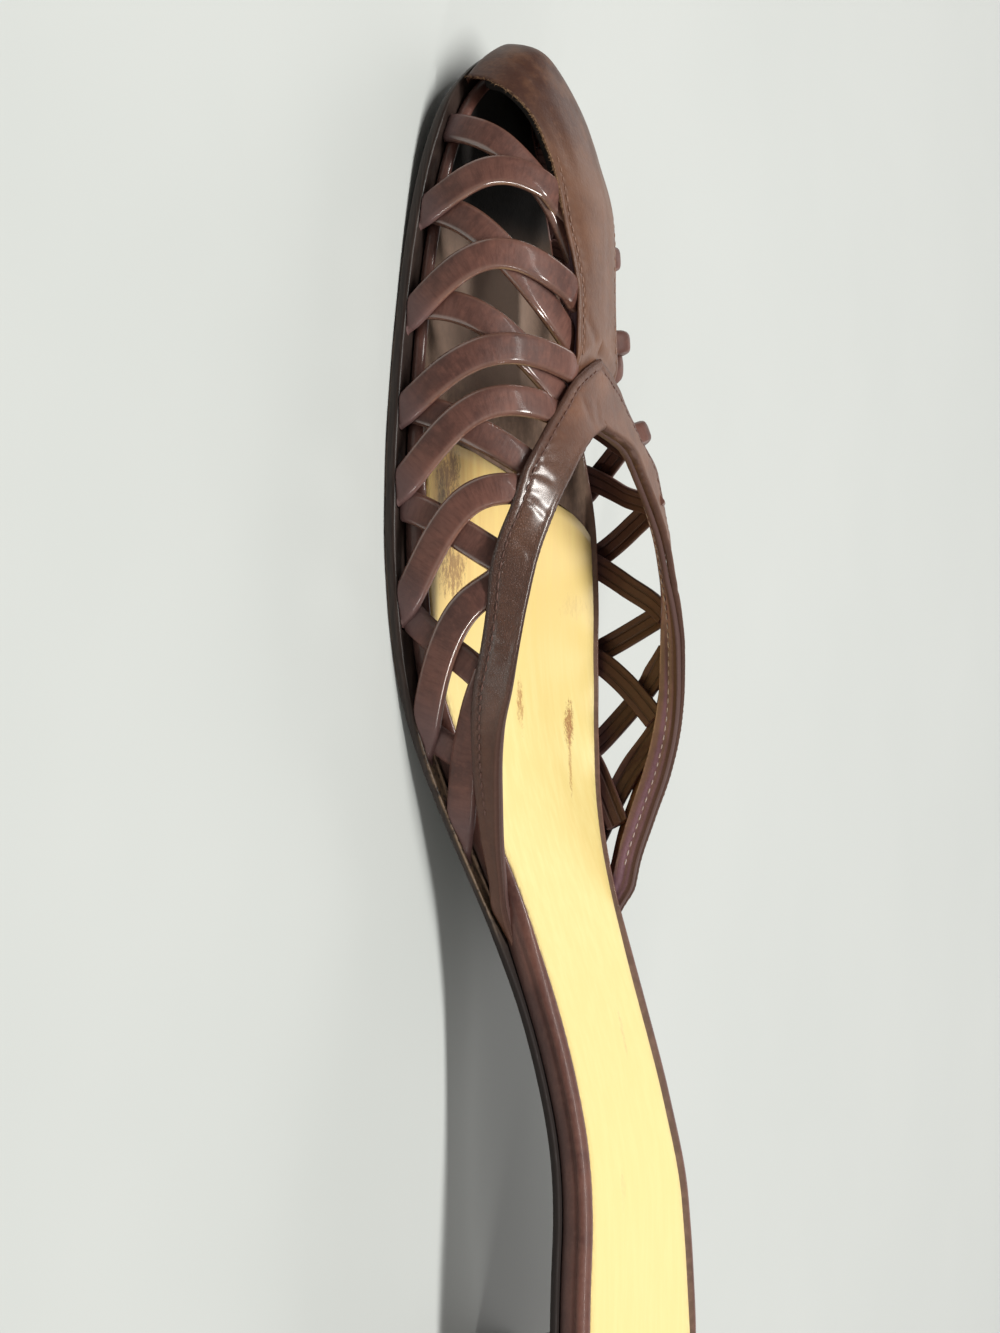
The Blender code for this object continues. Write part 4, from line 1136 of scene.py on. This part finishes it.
rows = np.concatenate([np.linspace(APEX_U, 58.4, 20)[:-1], np.linspace(58.4, THROAT_U, 26),
                       THROAT_U + np.linspace(0.0, 2.0, 22)[1:] ** 2,
                       np.linspace(70.4, ARM_END, 204)])
inner, outer, faces = vamp_sheet(rows, collar_low, top_angle, 30)
base, u_all, sides = spread(inner, outer)
hem_u = np.concatenate([np.linspace(APEX_U, 66.0, 90), np.linspace(66.2, ARM_END, 340)])
hem_line = as_one(both_lines(hem_u, collar_low))
from_hem, from_top = gap_to(base, hem_line), gap_to(base, top_line)
broad = fade(u_all, 118.0, 22.0)
groove = welt(from_hem, HEM_SEAM, 0.32) * broad
bead = welt(from_hem, 0.8, 0.5) * broad
pucker = 0.06 * np.sin(u_all * 3.0) * welt(from_hem, 2.2, 1.2) * broad
roll = welt(from_top, 0.7, 0.5) * rise(from_hem, 1.5, 1.5)
swell = 0.12 * np.sin(u_all * 0.62 + 1.0) * rise(from_hem, 1.0, 3.0) * rise(from_top, 1.0, 3.0)
edges = welt(np.minimum(from_hem, from_top), 0.0, 0.26)
face = COLLAR_FACE + arm_offset(u_all, sides, from_hem, from_top)
face_out = (face - 0.12 * groove + 0.02 * bead + 0.12 * roll + pucker + swell * broad
            + creased(base, COLLAR_CREASES) - 0.42 * edges)
face_in = face - COLLAR_THICK + 0.38 * welt(from_hem, 0.0, 0.6) - 0.12 * welt(from_top, 0.0, 0.6)

hide = tanned("collar_leather", specular=0.40, coat_rough=0.22, coat_ior=1.8)
tone, mottle = hide.tone, hide.mottle
x, y = tone.along(hide.mm, "X"), tone.along(hide.mm, "Y")
lip, hem = tone.mark("lip"), tone.mark("hem")
crackle = tone.node("ShaderNodeTexVoronoi", {"feature": "DISTANCE_TO_EDGE"},
                    {"Vector": tone.millimetres((0.8, 1.2, 1.2)), "Scale": 2.5}, out="Distance")
bend = x.between(-8.0, 4.0) * (1.0 - x.between(26.0, 46.0)) * y.between(-14.0, -22.0)
inner_arm = x.between(-4.0, 22.0) * y.between(-14.0, -24.0)
colour = tone.coats(
    tone.blend(hide.cloud, (0.106, 0.042, 0.022), (0.164, 0.069, 0.036)),
    (mottle.between(0.5, 0.8) * 0.4, (0.215, 0.096, 0.060)),
    (inner_arm * 0.32, (0.058, 0.022, 0.018)),
    # darker in the stitch groove: painted shade
    (tone.mark("groove") * 0.45, (0.056, 0.022, 0.015)),
    (lip * 0.75, (0.034, 0.014, 0.011)),
    # darker along the folded lower edge: painted shade in its crinkled crease
    (hem * 0.7, (0.052, 0.022, 0.016)))
rough = 0.42 + mottle * 0.16 - bend * 0.18 + lip * 0.4
pull = tone.noise(tone.millimetres((0.6, 1.0, 1.0)), 0.8, 4.0, 0.6)
wrinkle = crackle.between(0.0, 0.16) * 1.5 + tone.noise(hide.mm, 3.4, 3.0, 0.7) * 1.6
crimp = tone.noise(hide.mm, 2.4, 4.0, 0.65) * 2.0
height = hide.pebble * 0.55 + pull * 0.5 + wrinkle * bend + crimp * hem
shine = 0.03 + bend * (0.80 - lip * 0.80) * (1.0 - hem * 0.75)
seal(tone, hide.skin, colour, rough, height, 0.085, shine)
collar = wall("collar_leather", hide.finish, inner, outer, faces, face_out, face_in, groove=groove,
              lip=welt(from_top, 0.0, 0.5), hem=welt(from_hem, 0.0, 1.3) * broad)
fit(collar, "collar")


# Thread runs in the grooves along the strip, round the chevron and along the folded edges. On the
# lining under the top line it is painted pale as the highlight of its stitches. Each stitch is a
# short rounded lump of thread.
STITCH_PITCH, STITCH_LONG, THREAD = 1.7, 1.35, 0.36
LINING_STITCH_LONG, LINING_THREAD = 1.3, 0.34
STRIP_STITCH_FACE, HEM_STITCH_FACE, LINING_STITCH_FACE = 0.34, 0.47, -2.05      # from the last


def inside_line(stations, low, high, edge_line, distance, side):
    """The u and angle of a line at one distance from an edge, where the wall is wide enough."""
    found = []
    for u in stations:
        angle = np.linspace(float(low(u, side)), float(high(u, side)), 120)
        gap = gap_to(last_point(np.full(120, u), angle, side), edge_line)
        reached = np.nonzero(gap >= distance)[0]
        if len(reached):
            found.append((u, angle[reached[0]]))
    return np.array(found)


def thread_finish(name, dark, light, rough):
    finish, tone, skin = new_finish(name)
    twist = tone.noise(tone.millimetres((2.0, 2.0, 2.0)), 1.6, 2.0)
    seal(tone, skin, tone.blend(twist, dark, light), rough + twist * 0.2, twist, 0.05)
    return finish


def stitch_tree(name, long, thick, finish):
    """A row of rounded lumps of thread along each line, a little uneven in size."""
    work = Weave(name, Pitch=STITCH_PITCH * 0.001, Long=long * 0.0005, Thread=thick * 0.0005,
                 Seed=7, Finish=finish)
    ball = work.node("GeometryNodeMeshUVSphere", None, {"Segments": 8, "Rings": 6, "Radius": 1.0})
    shape = work.node("ShaderNodeCombineXYZ", None,
                      {0: work.given("Long"), 1: work.given("Thread"), 2: work.given("Thread")})
    lump = work.node("GeometryNodeTransform", None, {0: ball, "Scale": shape})
    turn = work.node("FunctionNodeAlignRotationToVector", {"axis": "X"},
                     {"Vector": work.node("GeometryNodeInputTangent")})
    work.finish(work.row_of(lump, turn, 0.86, 1.1))
    return work


def add_on(piece):
    """What is sewn to a piece or stands on it rides along with the shoe's root."""
    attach(piece, "root")


strip_rows, hem_rows, lining_rows = [], [], []
strip_u, hem_u = np.arange(22.0, 56.5, 0.5), np.arange(56.6, 130.0, 0.5)
lining_u = np.arange(72.0, 142.0, 0.5)
for side in (-1, 1):
    spots = inside_line(strip_u, low_angle, ridge_angle, open_low, STRIP_SEAM, side)
    spots = spots[spots[:, 0] < APEX_U]
    strip_rows.append(on_last(*spots.T, side, np.full(len(spots), STRIP_STITCH_FACE)))
    spots = inside_line(hem_u, collar_low, top_angle, hem_line, HEM_SEAM, side)
    hem_rows.append(on_last(*spots.T, side, HEM_STITCH_FACE + 0.55 * flare(spots[:, 0], side)))
    spots = inside_line(lining_u, top_angle, low_angle, top_line, LINING_SEAM, side)
    lining_rows.append(on_last(*spots.T, side, LINING_STITCH_FACE - 0.6 * flare(spots[:, 0], side)))
brown = thread_finish("brown_thread", (0.125, 0.058, 0.038), (0.300, 0.165, 0.105), 0.42)
lit_bed_and_hem_thread = thread_finish("worn_thread", (0.070, 0.028, 0.020), (0.150, 0.066, 0.046), 0.42)
# pale thread on the lining: painted highlight for the glints of the stitches
glint_lining_thread = thread_finish("painted_glint_thread", (0.22, 0.150, 0.150), (0.48, 0.39, 0.38), 0.40)
strip_work = stitch_tree("strip_stitch", STITCH_LONG, THREAD, brown)
add_on(strip_work.run("strip_stitches", strip_rows))
hem_work = stitch_tree("hem_stitch", STITCH_LONG, THREAD, lit_bed_and_hem_thread)
add_on(hem_work.run("hem_stitches", hem_rows))
lining_work = stitch_tree("lining_stitch", LINING_STITCH_LONG, LINING_THREAD, glint_lining_thread)
add_on(lining_work.run("lining_stitches", lining_rows))


# Cut fibres stand out along the raw edge of the toe piece: fine tan hairs of uneven length that
# lean every way out of the cut.
FIBRE_PITCH, FIBRE_LONG, FIBRE_WIDE, FIBRE_TIP = 0.17, 0.55, 0.035, 0.008
fibres, tone, skin = new_finish("tan_fibres")
tuft = tone.noise(tone.millimetres(), 1.2, 2.0)
colour = tone.blend(tuft, (0.20, 0.105, 0.055), (0.46, 0.29, 0.165))
seal(tone, skin, colour, 0.75 + tuft * 0.1, tuft, 0.02)
fray_work = Weave("raw_edge_fray", Pitch=FIBRE_PITCH * 0.001, Hair=FIBRE_LONG * 0.001,
                  Width=FIBRE_WIDE * 0.001, Seed=11, Finish=fibres)
hair = fray_work.node("GeometryNodeMeshCone", None,
                      {"Vertices": 4, "Radius Top": FIBRE_TIP * 0.001,
                       "Radius Bottom": fray_work.given("Width"), "Depth": fray_work.given("Hair")})
lean = fray_work.node("FunctionNodeRandomValue", {"data_type": "FLOAT_VECTOR"},
                      {0: (-0.9, -0.9, -0.9), 1: (0.9, 0.9, 0.9), "Seed": fray_work.given("Seed")})
aim = fray_work.node("ShaderNodeVectorMath", {"operation": "ADD"},
                     {0: fray_work.vector_mark("outward"), 1: lean})
turn = fray_work.node("FunctionNodeAlignRotationToVector", {"axis": "Z"}, {"Vector": aim})
fray_work.finish(fray_work.row_of(hair, turn, 0.35, 1.2))
cut_u = np.concatenate([np.linspace(7.0, 9.4, 40), np.linspace(9.5, 30.0, 120)])
cut_angle = low_angle(cut_u, -1)
depth = np.full(len(cut_u), TOE_FACE - 0.35)
cut = on_last(cut_u, cut_angle, -1, depth)
inward = on_last(cut_u, np.clip(cut_angle + 3.0, 0.0, 90.0), -1, depth)
add_on(fray_work.run("raw_edge_fibres", [cut], outward=[unit(cut - inward)]))


# The heel is a low block covered in the same brown leather, narrowing to the top piece. The photo's
# edge hides it, so it is plain: smooth sides, a flat breast and a soft lower corner.
HEEL_LOW, HEEL_HIGH, HEEL_MID, HEEL_SIDES = 5.0, 21.3, 3.6, 72
# z, u at the breast, u at the back, half width
HEEL = np.array([
    (5.0, 223.5, 250.4, 14.8), (9.0, 222.2, 251.8, 16.0), (13.0, 220.8, 253.4, 18.2),
    (17.5, 219.0, 255.2, 21.4), (21.3, 217.0, 256.6, 24.6)])


def heel_ring(z, trim=0.0, height=None):
    """The heel's outline at z, cut back by trim and set at another height where one is given."""
    breast, back, half = (through(HEEL[:, 0], HEEL[:, c], np.array([z]))[0] for c in (1, 2, 3))
    t = 2.0 * math.pi * np.arange(HEEL_SIDES) / HEEL_SIDES
    c, s = np.cos(t), np.sin(t)
    flat_breast = np.where(c < 0.0, 0.5, 0.9)
    deep = np.sign(c) * np.abs(c) ** flat_breast
    x = (breast + back) / 2.0 + ((back - breast) / 2.0 - trim) * deep
    y = HEEL_MID + (half - trim) * np.sign(s) * np.abs(s) ** 0.9
    return np.stack([x, y, np.full(HEEL_SIDES, z if height is None else height)], -1)


def stacked(name, rings, finish):
    last = (len(rings) - 1) * HEEL_SIDES
    faces = tube_faces(len(rings), HEEL_SIDES)
    faces += [tuple(range(HEEL_SIDES)), tuple(range(last, last + HEEL_SIDES))]
    return mesh_piece(name, np.concatenate(rings), faces, finish)


cover = tanned("heel_cover_leather")
colour = cover.tone.coats(
    cover.tone.blend(cover.cloud, (0.050, 0.022, 0.020), (0.094, 0.043, 0.036)),
    (cover.mottle.between(0.5, 0.8) * 0.4, (0.130, 0.064, 0.052)))
seal(cover.tone, cover.skin, colour, 0.32 + cover.mottle * 0.18, cover.pebble, 0.06, 0.25)
rings = [heel_ring(HEEL_LOW, 1.2), heel_ring(HEEL_LOW, 0.5), heel_ring(5.15, 0.12)]
rings += [heel_ring(z) for z in np.linspace(5.5, 20.9, 22)]
rings += [heel_ring(21.15, 0.15), heel_ring(HEEL_HIGH, 0.5), heel_ring(HEEL_HIGH, 1.5)]
fit(stacked("heel_cover", rings, cover.finish), "heel")


# The top piece under the heel is dark rubber, cut to the heel's foot, with a ground edge and a
# worn face.
# trim and height of each ring, from the worn face up
TOP_PIECE = [(2.0, 0.0), (0.8, 0.0), (0.45, 0.12), (0.30, 0.5), (0.15, 2.4), (0.0, 4.2),
             (0.10, 4.55), (0.5, 4.7), (1.6, 4.7)]
rubber, tone, skin = new_finish("dark_rubber")
mm = tone.millimetres()
ground = tone.noise(tone.millimetres((0.3, 0.3, 5.0)), 1.2, 3.0)
dust = tone.noise(mm, 0.3, 5.0, 0.65)
colour = tone.blend(dust.between(0.45, 0.75), (0.017, 0.015, 0.014), (0.046, 0.040, 0.036))
seal(tone, skin, colour, 0.58 + ground * 0.2, ground * 0.6 + tone.noise(mm, 3.0, 2.0) * 0.4, 0.06)
rings = [heel_ring(HEEL_LOW, trim, z) for trim, z in TOP_PIECE]
fit(stacked("heel_top_piece", rings, rubber), "heel_tip")


# The studio: a pale floor, a long soft light overhead as over a work table, a wide pale wall of
# light behind the shoe, a narrow light past the heel, and a camera above the inner side.
FLOOR_HALF = 3.0
FOCAL_PIXELS, FRAME_PIXELS, SENSOR = 3000.0, 1333.0, 36.0
LOOK_DOWN = (0.42262, 0.90631)      # sine and cosine of 25 degrees
EYE_PLACE = (0.0308, -0.47362, 0.22290)
ROOM_COLOUR, ROOM_STRENGTH = (0.86, 0.84, 0.79, 1.0), 0.19
# name, place, aim, size, power, colour
LIGHTS = [
    ("overhead_light", (-0.10, -0.14, 0.95), (0.02, 0.0, 0.0), (1.0, 0.1), 11.0, (1.0, 0.98, 0.94)),
    ("back_light", (0.0, 0.9, 0.36), (0.02, 0.0, 0.0), (1.6, 0.4), 4.0, (1.0, 0.985, 0.96)),
    ("heel_light", (0.84, -0.42, 0.36), (0.0, -0.02, 0.0), (0.05, 0.35), 2.2, (1.0, 0.97, 0.92))]
floor_mesh = bpy.data.meshes.new("pale_floor")
corners = [(-FLOOR_HALF, -FLOOR_HALF, 0.0), (FLOOR_HALF, -FLOOR_HALF, 0.0),
           (FLOOR_HALF, FLOOR_HALF, 0.0), (-FLOOR_HALF, FLOOR_HALF, 0.0)]
floor_mesh.from_pydata(corners, [], [(0, 1, 2, 3)])
floor = add_object("pale_floor", floor_mesh)
pale_floor, tone, skin = new_finish("pale_floor")
haze = tone.noise(tone.millimetres(), 0.01, 3.0)
seal(tone, skin, tone.blend(haze, (0.52, 0.55, 0.54), (0.575, 0.60, 0.59)), 0.55, haze, 0.001)
floor_mesh.materials.append(pale_floor)


def soft_light(name, where, aim, size, power, colour):
    lamp = bpy.data.lights.new(name, "AREA")
    lamp.shape = "RECTANGLE"
    lamp.size, lamp.size_y = size
    lamp.energy = power
    lamp.color = colour
    back = unit(np.subtract(where, aim))
    side = unit(np.cross((0.0, 1.0, 0.0) if abs(back[2]) > 0.7 else (0.0, 0.0, 1.0), back))
    turn = np.stack([side, np.cross(back, side), back], -1)
    add_object(name, lamp).matrix_world = Matrix.LocRotScale(where, Matrix(turn), None)


for light in LIGHTS:
    soft_light(*light)
world = bpy.data.worlds.new("pale_room")
world.use_nodes = True
room = world.node_tree.nodes["Background"]
room.inputs["Color"].default_value = ROOM_COLOUR
room.inputs["Strength"].default_value = ROOM_STRENGTH
bpy.context.scene.world = world
bpy.context.scene.view_settings.view_transform = "Standard"

eye = bpy.data.cameras.new("eye")
eye.sensor_width = SENSOR
eye.lens = FOCAL_PIXELS / FRAME_PIXELS * SENSOR
eye.clip_start = 0.01
camera = add_object("eye", eye)
down, level = LOOK_DOWN
camera.matrix_world = Matrix(((0.0, -1.0, 0.0, EYE_PLACE[0]), (down, 0.0, -level, EYE_PLACE[1]),
                              (level, 0.0, down, EYE_PLACE[2]), (0.0, 0.0, 0.0, 1.0)))
bpy.context.scene.camera = camera
